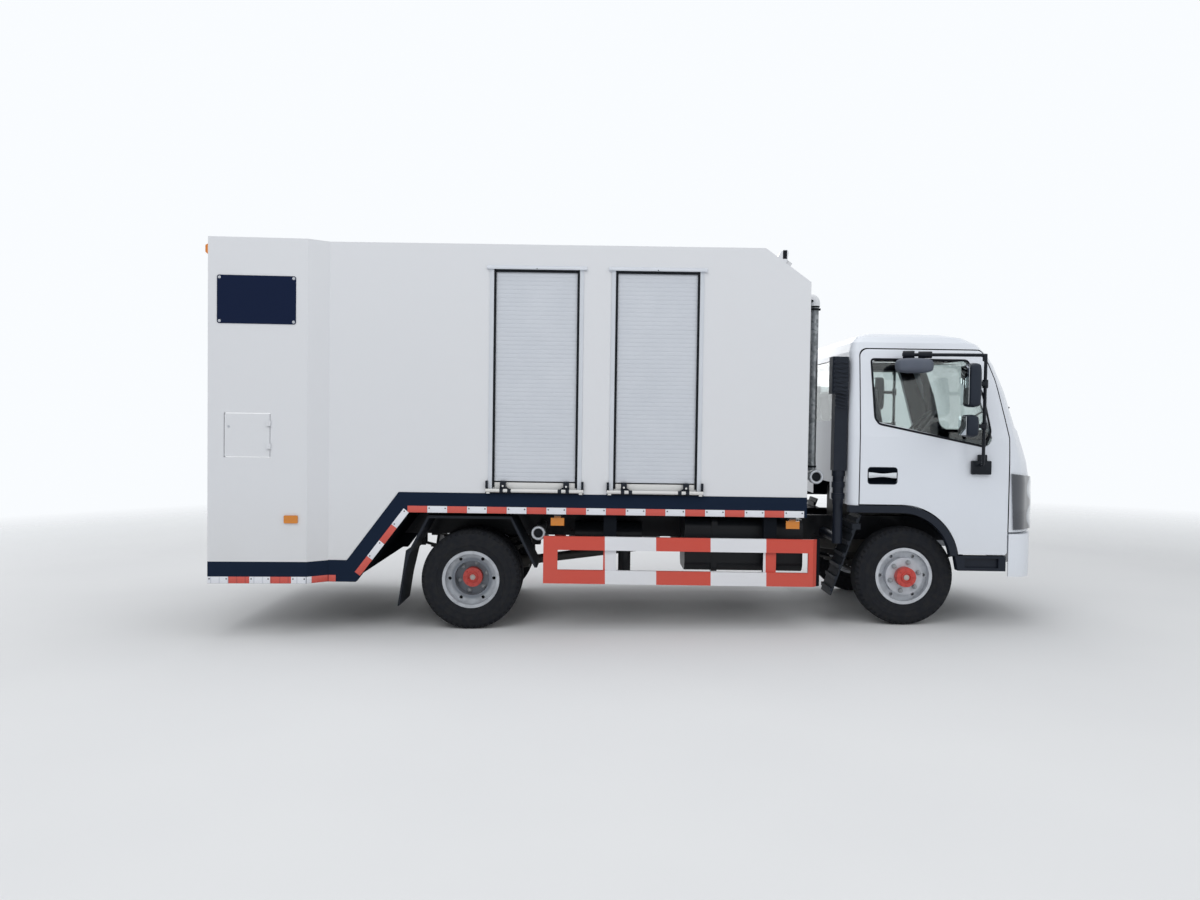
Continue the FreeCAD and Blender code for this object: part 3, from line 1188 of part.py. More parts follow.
def hand_rail(index):
    """Bottom rail of a shutter with its two latches."""
    half = SHUTTER_WIDTHS[index] / 2 - RAIL_SIDE_GAP
    centre = SHUTTER_CENTRES[index]
    face = BODY_SIDE + GUIDE_PROUD - GUIDE_LIP
    z = (SHUTTER_BOTTOM + HAND_RAIL_LIFT, SHUTTER_BOTTOM + HAND_RAIL_HEIGHT)
    solids = [block((centre - half, centre + half), (face - HAND_RAIL_THICK, face), z)]
    for turn in (-1, 1):
        x = centre + turn * half * (1 - LATCH_SHARE)
        latch = [(face - HAND_RAIL_THICK / 2, z[0]), (face + LATCH_PROUD, z[0] + LATCH_HEIGHT / 4),
                 (face + LATCH_PROUD, z[0] + LATCH_HEIGHT / 2), (face - HAND_RAIL_THICK / 2, z[0] + LATCH_HEIGHT * 0.8)]
        solids.append(cross_plate(latch, (x - LATCH_WIDTH / 2, x + LATCH_WIDTH / 2)))
    return fused(solids)


frames = []
for index in range(len(SHUTTER_CENTRES)):
    framework = shutter_frame(index)
    frames.append(framework)
    frames.append(other_side(framework))
    place = ("rear", "front")[index]
    keep("curtain_left_" + place, curtain(index))
    keep("curtain_right_" + place, other_side(curtain(index)))
    keep("shutter_rail_left_" + place, hand_rail(index))
    keep("shutter_rail_right_" + place, other_side(hand_rail(index)))
keep("shutter_frames", Part.makeCompound(frames))

# Water tank with stiffening ribs and a manhole, and the washing pump on its tube frame
tank_z = (FLOOR_TOP, FLOOR_TOP + WATER_TANK_HEIGHT)
tank_end = WATER_TANK_REAR + WATER_TANK_LENGTH
water = [cross_plate(rectangle((-WATER_TANK_SIDE, WATER_TANK_SIDE), tank_z, WATER_TANK_ROUND), (WATER_TANK_REAR, tank_end))]
for index in range(TANK_RIB_COUNT):
    x = WATER_TANK_REAR + WATER_TANK_LENGTH * (index + 0.5) / TANK_RIB_COUNT
    side = WATER_TANK_SIDE + TANK_RIB_PROUD
    water.append(cross_plate(rectangle((-side, side), (tank_z[0], tank_z[1] + TANK_RIB_PROUD), WATER_TANK_ROUND),
                             (x - TANK_RIB_WIDTH / 2, x + TANK_RIB_WIDTH / 2)))
middle = WATER_TANK_REAR + WATER_TANK_LENGTH / 2
water.append(rod((middle, 0, tank_z[1] - OVERRUN), (middle, 0, tank_z[1] + MANHOLE_HEIGHT), MANHOLE_RADIUS))
keep("water_tank", fused(water))

tube = PUMP_FRAME_TUBE
pump_x = (PUMP_FRAME_REAR, PUMP_FRAME_REAR + PUMP_FRAME_LENGTH)
pump_z = (FLOOR_TOP, FLOOR_TOP + PUMP_FRAME_HEIGHT)
pump = []
for z in (pump_z[0], (pump_z[0] + pump_z[1]) / 2, pump_z[1] - tube):
    ring = block(pump_x, (-PUMP_FRAME_SIDE, PUMP_FRAME_SIDE), (z, z + tube))
    pump.append(ring.cut(block((pump_x[0] + tube, pump_x[1] - tube), (-PUMP_FRAME_SIDE + tube, PUMP_FRAME_SIDE - tube),
                               (z - OVERRUN, z + tube + OVERRUN))))
for x in (pump_x[0], pump_x[1] - tube):
    for y in (-PUMP_FRAME_SIDE, PUMP_FRAME_SIDE - tube):
        pump.append(block((x, x + tube), (y, y + tube), pump_z))
deck = (pump_z[0] + pump_z[1]) / 2
pump.append(block(pump_x, (-PUMP_FRAME_SIDE, PUMP_FRAME_SIDE), (deck + tube, deck + tube + PANEL_THICK)))
motor_z = deck + tube + PUMP_BODY_RADIUS
centre_x = (pump_x[0] + pump_x[1]) / 2
pump.append(rod((centre_x, -PUMP_BODY_LENGTH, motor_z), (centre_x, PUMP_BODY_LENGTH / 3, motor_z), PUMP_BODY_RADIUS))
pump.append(block((centre_x - PUMP_HEAD_SIZE / 2, centre_x + PUMP_HEAD_SIZE / 2),
                  (PUMP_BODY_LENGTH / 3, PUMP_BODY_LENGTH / 3 + PUMP_HEAD_SIZE), (deck + tube, deck + tube + PUMP_HEAD_SIZE)))
keep("wash_pump", fused(pump))

# Bin lift in the rear: two mast channels, the carriage that climbs them and the tipping comb
chamber_floor = REAR_LOW + SILL_THICK + BODY_WALL
mast = []
for out in (1, -1):
    y = out * MAST_SIDE
    face = out * (MAST_SIDE + MAST_WIDTH / 2)
    web = out * (MAST_SIDE + MAST_WIDTH / 2 - MAST_WALL)
    inner = out * (MAST_SIDE - MAST_WIDTH / 2)
    x = (MAST_X - MAST_DEPTH / 2, MAST_X + MAST_DEPTH / 2)
    points = [(x[0], face), (x[1], face), (x[1], inner), (x[1] - MAST_WALL, inner), (x[1] - MAST_WALL, web),
              (x[0] + MAST_WALL, web), (x[0] + MAST_WALL, inner), (x[0], inner)]
    mast.append(plan_plate(points, (chamber_floor, MAST_TOP)))
    mast.append(block((x[0], x[1]), sorted((y - MAST_WIDTH, y + MAST_WIDTH)), (chamber_floor, chamber_floor + MAST_WALL)))
mast.append(block((MAST_X + MAST_DEPTH / 2 - MAST_WALL, MAST_X + MAST_DEPTH / 2 + MAST_WALL * 2),
                  (-MAST_SIDE - MAST_WIDTH / 2, MAST_SIDE + MAST_WIDTH / 2), (MAST_TOP - MAST_DEPTH, MAST_TOP)))
mast.append(block((MAST_X - MAST_WALL, MAST_X + MAST_WALL), (-MAST_SIDE - MAST_WIDTH / 2, MAST_SIDE + MAST_WIDTH / 2),
                  (MAST_TOP, roof_under)))
keep("lift_mast", fused(mast))

carriage_x = (MAST_X - MAST_DEPTH / 2 - CARRIAGE_GAP - CARRIAGE_TUBE, MAST_X - MAST_DEPTH / 2 - CARRIAGE_GAP)
carriage_z = (CARRIAGE_BOTTOM, CARRIAGE_BOTTOM + CARRIAGE_HEIGHT)
plate = block(carriage_x, (-CARRIAGE_SIDE, CARRIAGE_SIDE), carriage_z)
window = (carriage_z[0] + CARRIAGE_TUBE, carriage_z[1] - CARRIAGE_TUBE)
post = CARRIAGE_TUBE / 2
openings = ((-CARRIAGE_SIDE + CARRIAGE_TUBE, -MAST_SIDE - post), (-MAST_SIDE + post, -post),
            (post, MAST_SIDE - post), (MAST_SIDE + post, CARRIAGE_SIDE - CARRIAGE_TUBE))
for y in openings:
    plate = plate.cut(block((carriage_x[0] - OVERRUN, carriage_x[1] + OVERRUN), y, window))
carriage = [plate]
comb_pivot_x = carriage_x[0] - CARRIAGE_TUBE / 2
roller_radius = MAST_DEPTH / 2 - MAST_WALL - RUNNING_GAP
comb_pivot_z = carriage_z[1] - CARRIAGE_TUBE / 2
for out in (1, -1):
    roller_y = sorted((out * (MAST_SIDE - MAST_WIDTH / 2 - CARRIAGE_GAP * 2), out * (MAST_SIDE + MAST_WIDTH / 2 - MAST_WALL - CARRIAGE_GAP)))
    arm_y = sorted((out * (MAST_SIDE - MAST_WIDTH / 2 - CARRIAGE_GAP), out * (MAST_SIDE - MAST_WIDTH / 2 - CARRIAGE_GAP - COMB_EAR_THICK)))
    for z in (window[0], window[1]):
        carriage.append(rod((MAST_X, roller_y[0], z), (MAST_X, roller_y[1], z), roller_radius))
        carriage.append(block((carriage_x[0], MAST_X + roller_radius), arm_y,
                              (z - roller_radius, z + roller_radius)))
    ear_y = sorted((out * (CARRIAGE_SIDE - COMB_EAR_THICK), out * CARRIAGE_SIDE))
    ear = side_plate([(carriage_x[0] + CARRIAGE_TUBE / 2, carriage_z[1] - CARRIAGE_TUBE),
                      (carriage_x[0] + CARRIAGE_TUBE / 2, carriage_z[1]),
                      (comb_pivot_x - CARRIAGE_TUBE / 2, carriage_z[1], COMB_PIVOT_RADIUS),
                      (comb_pivot_x - CARRIAGE_TUBE / 2, carriage_z[1] - CARRIAGE_TUBE, COMB_PIVOT_RADIUS)], ear_y)
    carriage.append(ear)
    pin_y = sorted((out * (COMB_SIDE - COMB_EAR_REACH), out * CARRIAGE_SIDE))
    carriage.append(rod((comb_pivot_x, pin_y[0], comb_pivot_z), (comb_pivot_x, pin_y[1], comb_pivot_z), COMB_PIVOT_RADIUS))
keep("lift_carriage", fused(carriage))

comb_x = (comb_pivot_x - COMB_THICK * 1.5, comb_pivot_x - COMB_THICK / 2)
comb_z = (comb_pivot_z - COMB_HEIGHT, comb_pivot_z)
comb = [block((comb_x[0], comb_x[0] + COMB_THICK / 3), (-COMB_SIDE, COMB_SIDE), comb_z)]
for z in (comb_z[0], comb_z[1] - COMB_THICK):
    comb.append(block(comb_x, (-COMB_SIDE, COMB_SIDE), (z, z + COMB_THICK)))
pitch = (2 * COMB_SIDE - COMB_TOOTH_WIDTH) / (COMB_TOOTH_COUNT - 1)
for index in range(COMB_TOOTH_COUNT):
    y = -COMB_SIDE + pitch * index
    tooth = [(comb_x[0], comb_z[1] - OVERRUN), (comb_x[0] + COMB_THICK / 2, comb_z[1] - OVERRUN),
             (comb_x[0], comb_z[1] + COMB_TOOTH_HEIGHT), (comb_x[0] - COMB_THICK / 2, comb_z[1] + COMB_TOOTH_HEIGHT)]
    comb.append(side_plate(tooth, (y, y + COMB_TOOTH_WIDTH)))
for out in (1, -1):
    lug_y = sorted((out * (COMB_SIDE - COMB_EAR_REACH), out * (COMB_SIDE - COMB_THICK)))
    lug = side_plate([(comb_x[0], comb_z[1] - COMB_THICK), (comb_x[0], comb_z[1]),
                      (comb_pivot_x + COMB_THICK * 0.8, comb_z[1] + COMB_THICK * 0.8, COMB_PIVOT_RADIUS),
                      (comb_pivot_x + COMB_THICK * 0.8, comb_z[1] - COMB_THICK, COMB_PIVOT_RADIUS)], lug_y)
    comb.append(lug)
comb = fused(comb)
for out in (1, -1):
    comb = comb.cut(rod((comb_pivot_x, out * (COMB_SIDE - COMB_EAR_REACH * 2), comb_pivot_z),
                        (comb_pivot_x, out * (COMB_SIDE + OVERRUN), comb_pivot_z), COMB_PIVOT_RADIUS + RUNNING_GAP))
keep("bin_comb", comb)

# Side guards: rails and posts round a long window, the front end bent inwards
guard_bend_x = GUARD_FRONT - GUARD_BEND
window = (GUARD_BOTTOM + GUARD_RAIL_HEIGHT, GUARD_TOP - GUARD_RAIL_HEIGHT)
guard_in = GUARD_SIDE - GUARD_THICK
guard = [block((GUARD_REAR, guard_bend_x), (guard_in, GUARD_SIDE), (GUARD_BOTTOM, GUARD_TOP)).cut(
    block((GUARD_REAR + GUARD_POST, guard_bend_x - GUARD_POST / 3), (guard_in - OVERRUN, GUARD_SIDE + OVERRUN), window))]
guard.append(plan_plate([(guard_bend_x, GUARD_SIDE), (GUARD_FRONT, GUARD_SIDE - GUARD_BEND),
                         (GUARD_FRONT - GUARD_THICK, GUARD_SIDE - GUARD_BEND - GUARD_THICK / 2), (guard_bend_x - GUARD_THICK / 2, guard_in)],
                        (GUARD_BOTTOM, GUARD_TOP)))
for x in GUARD_BRACKET_PLACES:
    guard.append(block((x, x + GUARD_BRACKET_WIDTH), (guard_in - GUARD_THICK * 2, guard_in), (GUARD_BOTTOM, FLOOR_TOP - SILL_DEPTH - RUNNING_GAP)))
keep("side_guards", both_sides(fused(guard)))

# Rear mudguards over the twin wheels with hanging flaps, and the ribbed fenders behind the front wheels
mud_y = (MUDGUARD_OUTER - MUDGUARD_WIDTH, MUDGUARD_OUTER)
top = [(MUDGUARD_REAR_LOW, MUDGUARD_REAR_LOW_Z), (MUDGUARD_REAR_TOP, MUDGUARD_TOP), (MUDGUARD_FRONT_TOP, MUDGUARD_TOP),
       (MUDGUARD_FRONT_LOW, MUDGUARD_FRONT_LOW_Z)]
inner = [(MUDGUARD_FRONT_LOW - MUDGUARD_THICK, MUDGUARD_FRONT_LOW_Z), (MUDGUARD_FRONT_TOP - MUDGUARD_THICK / 2, MUDGUARD_TOP - MUDGUARD_THICK),
         (MUDGUARD_REAR_TOP + MUDGUARD_THICK / 2, MUDGUARD_TOP - MUDGUARD_THICK), (MUDGUARD_REAR_LOW + MUDGUARD_THICK, MUDGUARD_REAR_LOW_Z)]
guard = [side_plate(top + inner, mud_y)]
for x in (MUDGUARD_REAR_TOP + MUDGUARD_THICK, MUDGUARD_FRONT_TOP - MUDGUARD_THICK * 3):
    guard.append(block((x, x + MUDGUARD_THICK * 2), (mud_y[0], mud_y[1] - MUDGUARD_WIDTH / 4), (MUDGUARD_TOP - MUDGUARD_THICK / 2, lift[1] - BEARER_HEIGHT - RUNNING_GAP)))
flap = [(MUDGUARD_REAR_LOW - FLAP_THICK, MUDGUARD_REAR_LOW_Z + MUDGUARD_THICK), (MUDGUARD_REAR_LOW + MUDGUARD_THICK, MUDGUARD_REAR_LOW_Z + MUDGUARD_THICK),
        (MUDGUARD_REAR_LOW - FLAP_BACK / 2, (MUDGUARD_REAR_LOW_Z + FLAP_BOTTOM) / 2, TYRE_RADIUS),
        (MUDGUARD_REAR_LOW - FLAP_BACK, FLAP_BOTTOM), (MUDGUARD_REAR_LOW - FLAP_BACK - FLAP_THICK, FLAP_BOTTOM),
        (MUDGUARD_REAR_LOW - FLAP_BACK / 2 - FLAP_THICK, (MUDGUARD_REAR_LOW_Z + FLAP_BOTTOM) / 2, TYRE_RADIUS)]
guard.append(side_plate(flap, mud_y))
rear_guards = both_sides(fused(guard))

fender_y = (FENDER_INNER, FENDER_OUTER)
lean = V(FENDER_LOW_X - FENDER_TOP_X, 0, FENDER_LOW_Z - FENDER_TOP_Z)
fender = [(FENDER_TOP_X, FENDER_TOP_Z), (FENDER_LOW_X, FENDER_LOW_Z), (FENDER_LOW_X - FLAP_THICK, FENDER_LOW_Z),
          (FENDER_TOP_X - FLAP_THICK, FENDER_TOP_Z)]
fenders = [side_plate(fender, fender_y)]
for index in range(FENDER_RIB_COUNT):
    share = (index + 0.5) / FENDER_RIB_COUNT
    x = FENDER_TOP_X + lean.x * share - FLAP_THICK
    z = FENDER_TOP_Z + lean.z * share
    fenders.append(block((x - FENDER_RIB_PROUD, x + FLAP_THICK / 2), fender_y, (z - FENDER_RIB_PROUD, z + FENDER_RIB_PROUD)))
fenders.append(block((FENDER_TOP_X - HANGER_LENGTH, FENDER_TOP_X - FLAP_THICK / 2), (FRAME_SIDE + RUNNING_GAP, FENDER_OUTER),
                     (FENDER_TOP_Z - HANGER_LENGTH - STRAP_WIDTH, FENDER_TOP_Z - HANGER_LENGTH)))
keep("mudguards", Part.makeCompound([rear_guards, both_sides(fused(fenders))]))

# Pipework: ring couplings on both lines, standing pipes with elbows at the front wall
ring_y = (-RING_FACE_SIDE, -RING_FACE_SIDE + RING_LENGTH)
parts = []
for x, z, back in ((REAR_RING_X, REAR_RING_HEIGHT, -FRAME_SIDE - RUNNING_GAP), (FRONT_RING_X, FRONT_RING_HEIGHT, -PIPE_SIDES[0])):
    coupling = rod((x, ring_y[0], z), (x, ring_y[1], z), RING_OUTER)
    line = rod((x, ring_y[1] - RUNNING_GAP, z), (x, back, z), PIPE_RADIUS * 1.3)
    bore = rod((x, ring_y[0] - OVERRUN, z), (x, ring_y[1], z), RING_BORE)
    parts.append(fused([coupling, line]).cut(bore))
couplings = Part.makeCompound(parts)
pipes = []
for side in PIPE_SIDES:
    stand = rod((PIPE_X, -side, FRONT_RING_HEIGHT + RING_OUTER + RUNNING_GAP), (PIPE_X, -side, PIPE_TOP + PIPE_RADIUS), PIPE_RADIUS)
    elbow = rod((PIPE_X, -side, PIPE_TOP), (BODY_FRONT + RUNNING_GAP, -side, PIPE_TOP), PIPE_RADIUS)
    cut = PIPE_TOP - PIPE_RADIUS * 4
    clamp = block((BODY_FRONT + RUNNING_GAP, PIPE_X + PIPE_RADIUS + STRAP_THICK), (-side - PIPE_RADIUS - STRAP_THICK, -side + PIPE_RADIUS + STRAP_THICK),
                  (cut, cut + STRAP_WIDTH))
    pipes.append(fused([stand, elbow, clamp]).cut(block((BODY_FRONT - PIPE_RADIUS * 2, BODY_FRONT + RUNNING_GAP), (-side - PIPE_RADIUS * 2, -side + PIPE_RADIUS * 2),
                                                               (cut - STRAP_WIDTH, PIPE_TOP + PIPE_RADIUS * 2))))
keep("pipework", Part.makeCompound([couplings] + pipes))

# Lamps on the body: side markers, tail lamps, top corner lamps and front work lamps
lamps = []
marker_y = (BODY_SIDE - SILL_THICK, BODY_SIDE - SILL_THICK + MARKER_THICK)
for x in MARKER_PLACES:
    lamps.append(block((x, x + MARKER_LENGTH), marker_y, (MARKER_BOTTOM, MARKER_BOTTOM + MARKER_HEIGHT)))
    lamps.append(block((x + MARKER_LENGTH / 4, x + MARKER_LENGTH * 0.75), (marker_y[0], marker_y[0] + HANGER_THICK),
                       (MARKER_BOTTOM + MARKER_HEIGHT, FLOOR_TOP - SILL_DEPTH - RUNNING_GAP)))
base = flare_side(REAR_MARKER_X) + RUNNING_GAP
rear_marker = side_plate(rectangle((REAR_MARKER_X, REAR_MARKER_X + MARKER_LENGTH), (REAR_MARKER_BOTTOM, REAR_MARKER_BOTTOM + MARKER_HEIGHT), HINGE_RADIUS),
                         (base, base + MARKER_THICK / 2))
marker_pairs = [fused(lamps[0:2]), fused(lamps[2:4]), on_flare(rear_marker, REAR_MARKER_X, 1)]
markers = [both_sides(lamp) for lamp in marker_pairs]
tail_inner = tail_side - TAIL_POST
lamp_y = (tail_inner - TAIL_LAMP_WIDTH / 2, tail_side - STRAP_WIDTH)
tail = block((TAIL_X - REAR_LAMP_PROUD, TAIL_X - RUNNING_GAP), lamp_y, (TAIL_LAMP_BOTTOM, TAIL_LAMP_BOTTOM + TAIL_LAMP_HEIGHT))
top_lamp = side_plate([(TAIL_X - RUNNING_GAP, TOP_LAMP_BOTTOM), (TAIL_X - RUNNING_GAP, TOP_LAMP_BOTTOM + TOP_LAMP_HEIGHT),
                       (TAIL_X - TOP_LAMP_REACH, TOP_LAMP_BOTTOM + TOP_LAMP_HEIGHT * 0.8, REAR_LAMP_PROUD),
                       (TAIL_X - TOP_LAMP_REACH, TOP_LAMP_BOTTOM + TOP_LAMP_HEIGHT * 0.3, REAR_LAMP_PROUD)], lamp_y)
chamfer_x = BODY_FRONT - CHAMFER_LENGTH * 0.55
chamfer_z = BODY_ROOF - CHAMFER_DROP * 0.45
square = V(CHAMFER_DROP, 0, CHAMFER_LENGTH)
square.normalize()
work = block((-WORK_LAMP_SIZE / 2, WORK_LAMP_SIZE / 2), (WORK_LAMP_SIDE - WORK_LAMP_SIZE / 2, WORK_LAMP_SIDE + WORK_LAMP_SIZE / 2),
             (RUNNING_GAP, WORK_LAMP_DEPTH))
work.rotate(V(0, 0, 0), V(0, 1, 0), math.degrees(math.atan2(CHAMFER_DROP, CHAMFER_LENGTH)))
work.translate(V(chamfer_x, 0, chamfer_z))
keep("body_lamps", Part.makeCompound(markers + [both_sides(tail), both_sides(top_lamp), both_sides(work)]))

# Cab: plan sections stacked from the sill to the roof, each with a bowed nose and rounded corners.
# Every row is the height, how far the nose and the corner lie behind the foremost nose, the
# half width lost to the tumblehome, how far the rear wall leans in, and the corner's radius.
CAB_SECTIONS = (
    (560.0, 4.0, 274.0, 0.0, 0.0, 200.0),
    (900.0, 0.0, 270.0, 0.0, 0.0, 200.0),
    (1109.0, 6.0, 270.0, 0.0, 0.0, 200.0),
    (1264.0, 40.0, 280.0, 0.0, 0.0, 180.0),
    (1444.0, 108.0, 322.0, 3.0, 0.0, 150.0),
    (1600.0, 160.0, 362.0, 16.0, 0.0, 130.0),
    (1800.0, 226.0, 416.0, 38.0, 2.0, 110.0),
    (2007.0, 330.0, 486.0, 64.0, 6.0, 100.0),
    (2090.0, 386.0, 536.0, 78.0, 12.0, 100.0),
    (2160.0, 452.0, 600.0, 100.0, 30.0, 100.0),
    (2206.0, 540.0, 690.0, 140.0, 70.0, 100.0),
    (2232.0, 660.0, 820.0, 210.0, 150.0, 100.0),
    (2244.0, 820.0, 980.0, 330.0, 300.0, 100.0),
)
REAR_CORNER_RADIUS = 60.0
NOSE_FLAT_SHARE = 0.19
CHEEK_SHARE = 0.79
CHEEK_BACK_SHARE = 0.35
CHEEK_RADIUS = 300.0
NOSE_RADIUS = 1500.0


def cab_hull(inset):
    """The cab's closed outer form, or the same form moved in by inset."""
    wires = []
    sections = CAB_SECTIONS if inset < CAB_WALL else CAB_SECTIONS[::2]
    for height, nose_back, corner_back, narrow, lean, radius in sections:
        nose = CAB_NOSE - nose_back - inset
        corner = CAB_NOSE - corner_back - inset / 2
        side = CAB_SIDE - narrow - inset
        rear = CAB_REAR + lean + inset
        cheek_y = side * CHEEK_SHARE
        cheek_x = nose - (nose - corner) * CHEEK_BACK_SHARE
        flat = side * NOSE_FLAT_SHARE
        small = radius - inset
        half = [(rear, side, REAR_CORNER_RADIUS - inset), (corner, side, small),
                (cheek_x, cheek_y, CHEEK_RADIUS), (nose, flat, NOSE_RADIUS)]
        points = half + [(x, -y, r) for x, y, r in reversed(half)]
        z = height if height < CAB_SECTIONS[-1][0] / 2 else height - inset * (height - CAB_SECTIONS[0][0]) / (CAB_SECTIONS[-1][0] - CAB_SECTIONS[0][0])
        corners = [(V(x, y, z), r) for x, y, r in points]
        wires.append(rounded_wire(corners))
    return Part.makeLoft(wires, True, True)


def arch_cut(grow):
    """Space under the cab over the front wheels."""
    y = (-CAB_SIDE - OVERRUN, CAB_SIDE + OVERRUN)
    top = ARCH_CENTRE_Z + ARCH_RADIUS + grow
    arc = rod((ARCH_CENTRE_X, y[0], ARCH_CENTRE_Z), (ARCH_CENTRE_X, y[1], ARCH_CENTRE_Z), ARCH_RADIUS + grow)
    rear = block((CAB_REAR - OVERRUN, ARCH_CENTRE_X), y, (CAB_SILL_BOTTOM - OVERRUN * 4, top))
    low = block((ARCH_CENTRE_X, ARCH_CENTRE_X + ARCH_RADIUS + grow), y, (CAB_SILL_BOTTOM - OVERRUN * 4, ARCH_CENTRE_Z))
    return fused([arc, rear, low])


def door_points(grow):
    """Door outline with the gap all round added by grow."""
    return [(DOOR_REAR - grow, DOOR_BOTTOM - grow), (DOOR_REAR - grow, DOOR_TOP + grow, DOOR_REAR_ROUND),
            (DOOR_FRONT_TOP + grow, DOOR_TOP + grow, DOOR_TOP_ROUND), (DOOR_PILLAR_X + grow, DOOR_PILLAR_Z, DOOR_PILLAR_ROUND),
            (DOOR_FRONT + grow, DOOR_BELT, DOOR_BELT_ROUND), (DOOR_FRONT + grow, DOOR_BOTTOM - grow, DOOR_FOOT_ROUND)]


window_points = [(WINDOW_REAR_TOP, WINDOW_TOP, 50.0), (WINDOW_REAR_LOW, WINDOW_REAR_SILL, 60.0), (WINDOW_FRONT_LOW, WINDOW_FRONT_SILL, 40.0),
                 (WINDOW_FRONT, WINDOW_FRONT_SILL + 60.0, 30.0), (WINDOW_FRONT_TOP, WINDOW_TOP, 60.0)]
side_y = (CAB_SIDE / 2, CAB_SIDE + OVERRUN)
outer_hull = cab_hull(0)
inner_hull = cab_hull(CAB_WALL)
wall = outer_hull.cut(inner_hull)

door_left = outer_hull.cut(inner_hull).common(side_plate(door_points(0), side_y)).cut(arch_cut(DOOR_GAP))
door_left = door_left.cut(side_plate(window_points, side_y))
glass_layer = cab_hull(GLASS_GAP * 8).cut(cab_hull(GLASS_GAP * 8 + GLASS_THICK))


def inset_points(points, grow):
    """Outline moved in a little towards its middle, for a pane inside its opening."""
    face = Part.Face(side_outline(points))
    return face.makeOffset2D(-grow)


def pane(points, y, gap):
    """Prism of a pane's outline."""
    face = inset_points(points, gap)
    solid = face.extrude(V(0, y[1] - y[0], 0))
    solid.translate(V(0, y[0], 0))
    return solid


door_glass = glass_layer.common(pane(window_points, side_y, RUNNING_GAP))

# Shell of the cab with door openings, windscreen and back light openings, floor, tunnel and footwells
cab = outer_hull.copy()
cab = cab.cut(block((CAB_REAR - OVERRUN, CAB_NOSE + OVERRUN), (-FOOTWELL_INNER + CAB_WALL, FOOTWELL_INNER - CAB_WALL),
                    (CAB_SILL_BOTTOM - OVERRUN, CAB_RAIL_CLEAR)))
cab = cab.cut(block((DOOR_FRONT + DOOR_GAP, CAB_NOSE + OVERRUN), (-CAB_SIDE - OVERRUN, CAB_SIDE + OVERRUN),
                    (CAB_SILL_BOTTOM - OVERRUN, CAB_PANEL_BOTTOM)))
cab = cab.cut(arch_cut(0))
cab = cab.cut(block((CAB_REAR - OVERRUN, TUNNEL_FRONT), (-TUNNEL_SIDE, TUNNEL_SIDE), (CAB_SILL_BOTTOM - OVERRUN, TUNNEL_TOP - TUNNEL_WALL)))
cabin = inner_hull.common(block((CAB_REAR, CAB_NOSE), (-CAB_SIDE, CAB_SIDE), (CAB_FLOOR, BODY_ROOF)))
cabin = cabin.cut(block((CAB_REAR, TUNNEL_FRONT + TUNNEL_WALL), (-TUNNEL_SIDE - TUNNEL_WALL, TUNNEL_SIDE + TUNNEL_WALL), (CAB_FLOOR - OVERRUN, TUNNEL_TOP)))
cab = cab.cut(cabin)
for out in (1, -1):
    well_y = sorted((out * FOOTWELL_INNER, out * (CAB_SIDE - CAB_WALL)))
    well = block((FOOTWELL_REAR, DOOR_FRONT + DOOR_GAP - CAB_WALL), well_y, (CAB_FOOTWELL_FLOOR, CAB_FLOOR + OVERRUN))
    cab = cab.cut(well)
    toe = block((DOOR_FRONT - CAB_WALL, CAB_NOSE - CAB_WALL * 5), well_y, (CAB_PANEL_BOTTOM + CAB_WALL, CAB_FLOOR + OVERRUN))
    cab = cab.cut(toe.common(inner_hull))
door_hole = side_plate(door_points(DOOR_GAP), side_y).cut(arch_cut(0))
cab = cab.cut(door_hole).cut(other_side(door_hole))
screen_points = [(-SCREEN_LOW_SIDE, SCREEN_BOTTOM, 60.0), (-SCREEN_TOP_SIDE, SCREEN_TOP, 70.0), (SCREEN_TOP_SIDE, SCREEN_TOP, 70.0),
                 (SCREEN_LOW_SIDE, SCREEN_BOTTOM, 60.0)]
screen_x = (DOOR_FRONT_TOP - CAB_WALL, CAB_NOSE + OVERRUN)
screen_hole = cross_plate(screen_points, screen_x)
light_points = rectangle((-BACK_LIGHT_SIDE, BACK_LIGHT_SIDE), (BACK_LIGHT_BOTTOM, BACK_LIGHT_TOP), 60.0)
light_x = (CAB_REAR - OVERRUN, CAB_REAR + CAB_WALL * 3)
cab = cab.cut(screen_hole).cut(cross_plate(light_points, light_x))
windscreen = glass_layer.common(screen_hole)
back_light = glass_layer.common(cross_plate(light_points, light_x))
keep("cab_glass", Part.makeCompound([windscreen, back_light]))

# Tilt arms under the nose, leaning back from the pivot pins to the cab's floor
arms = []
for out in (1, -1):
    y = (out * TILT_ARM_SIDE - TILT_ARM_THICK / 2, out * TILT_ARM_SIDE + TILT_ARM_THICK / 2)
    lean = CAB_RAIL_CLEAR - PIVOT_HEIGHT
    arm = side_plate([(cab_pivot_x + TILT_ARM_WIDTH / 2, PIVOT_HEIGHT - TILT_ARM_WIDTH / 2, TILT_PIN_RADIUS),
                      (cab_pivot_x + TILT_ARM_WIDTH / 2, PIVOT_HEIGHT + TILT_ARM_WIDTH / 2, TILT_PIN_RADIUS),
                      (cab_pivot_x - lean * 0.8, CAB_RAIL_CLEAR + OVERRUN), (cab_pivot_x - lean * 1.2, CAB_RAIL_CLEAR + OVERRUN),
                      (cab_pivot_x - TILT_ARM_WIDTH / 2, PIVOT_HEIGHT - TILT_ARM_WIDTH / 2, TILT_PIN_RADIUS)], y)
    arms.append(arm.cut(rod((cab_pivot_x, y[0] - OVERRUN, PIVOT_HEIGHT), (cab_pivot_x, y[1] + OVERRUN, PIVOT_HEIGHT), TILT_PIN_RADIUS + RUNNING_GAP)))
main_shell = max(cab.Solids, key=lambda solid: solid.Volume)
keep("cab_shell", fused([main_shell] + arms))

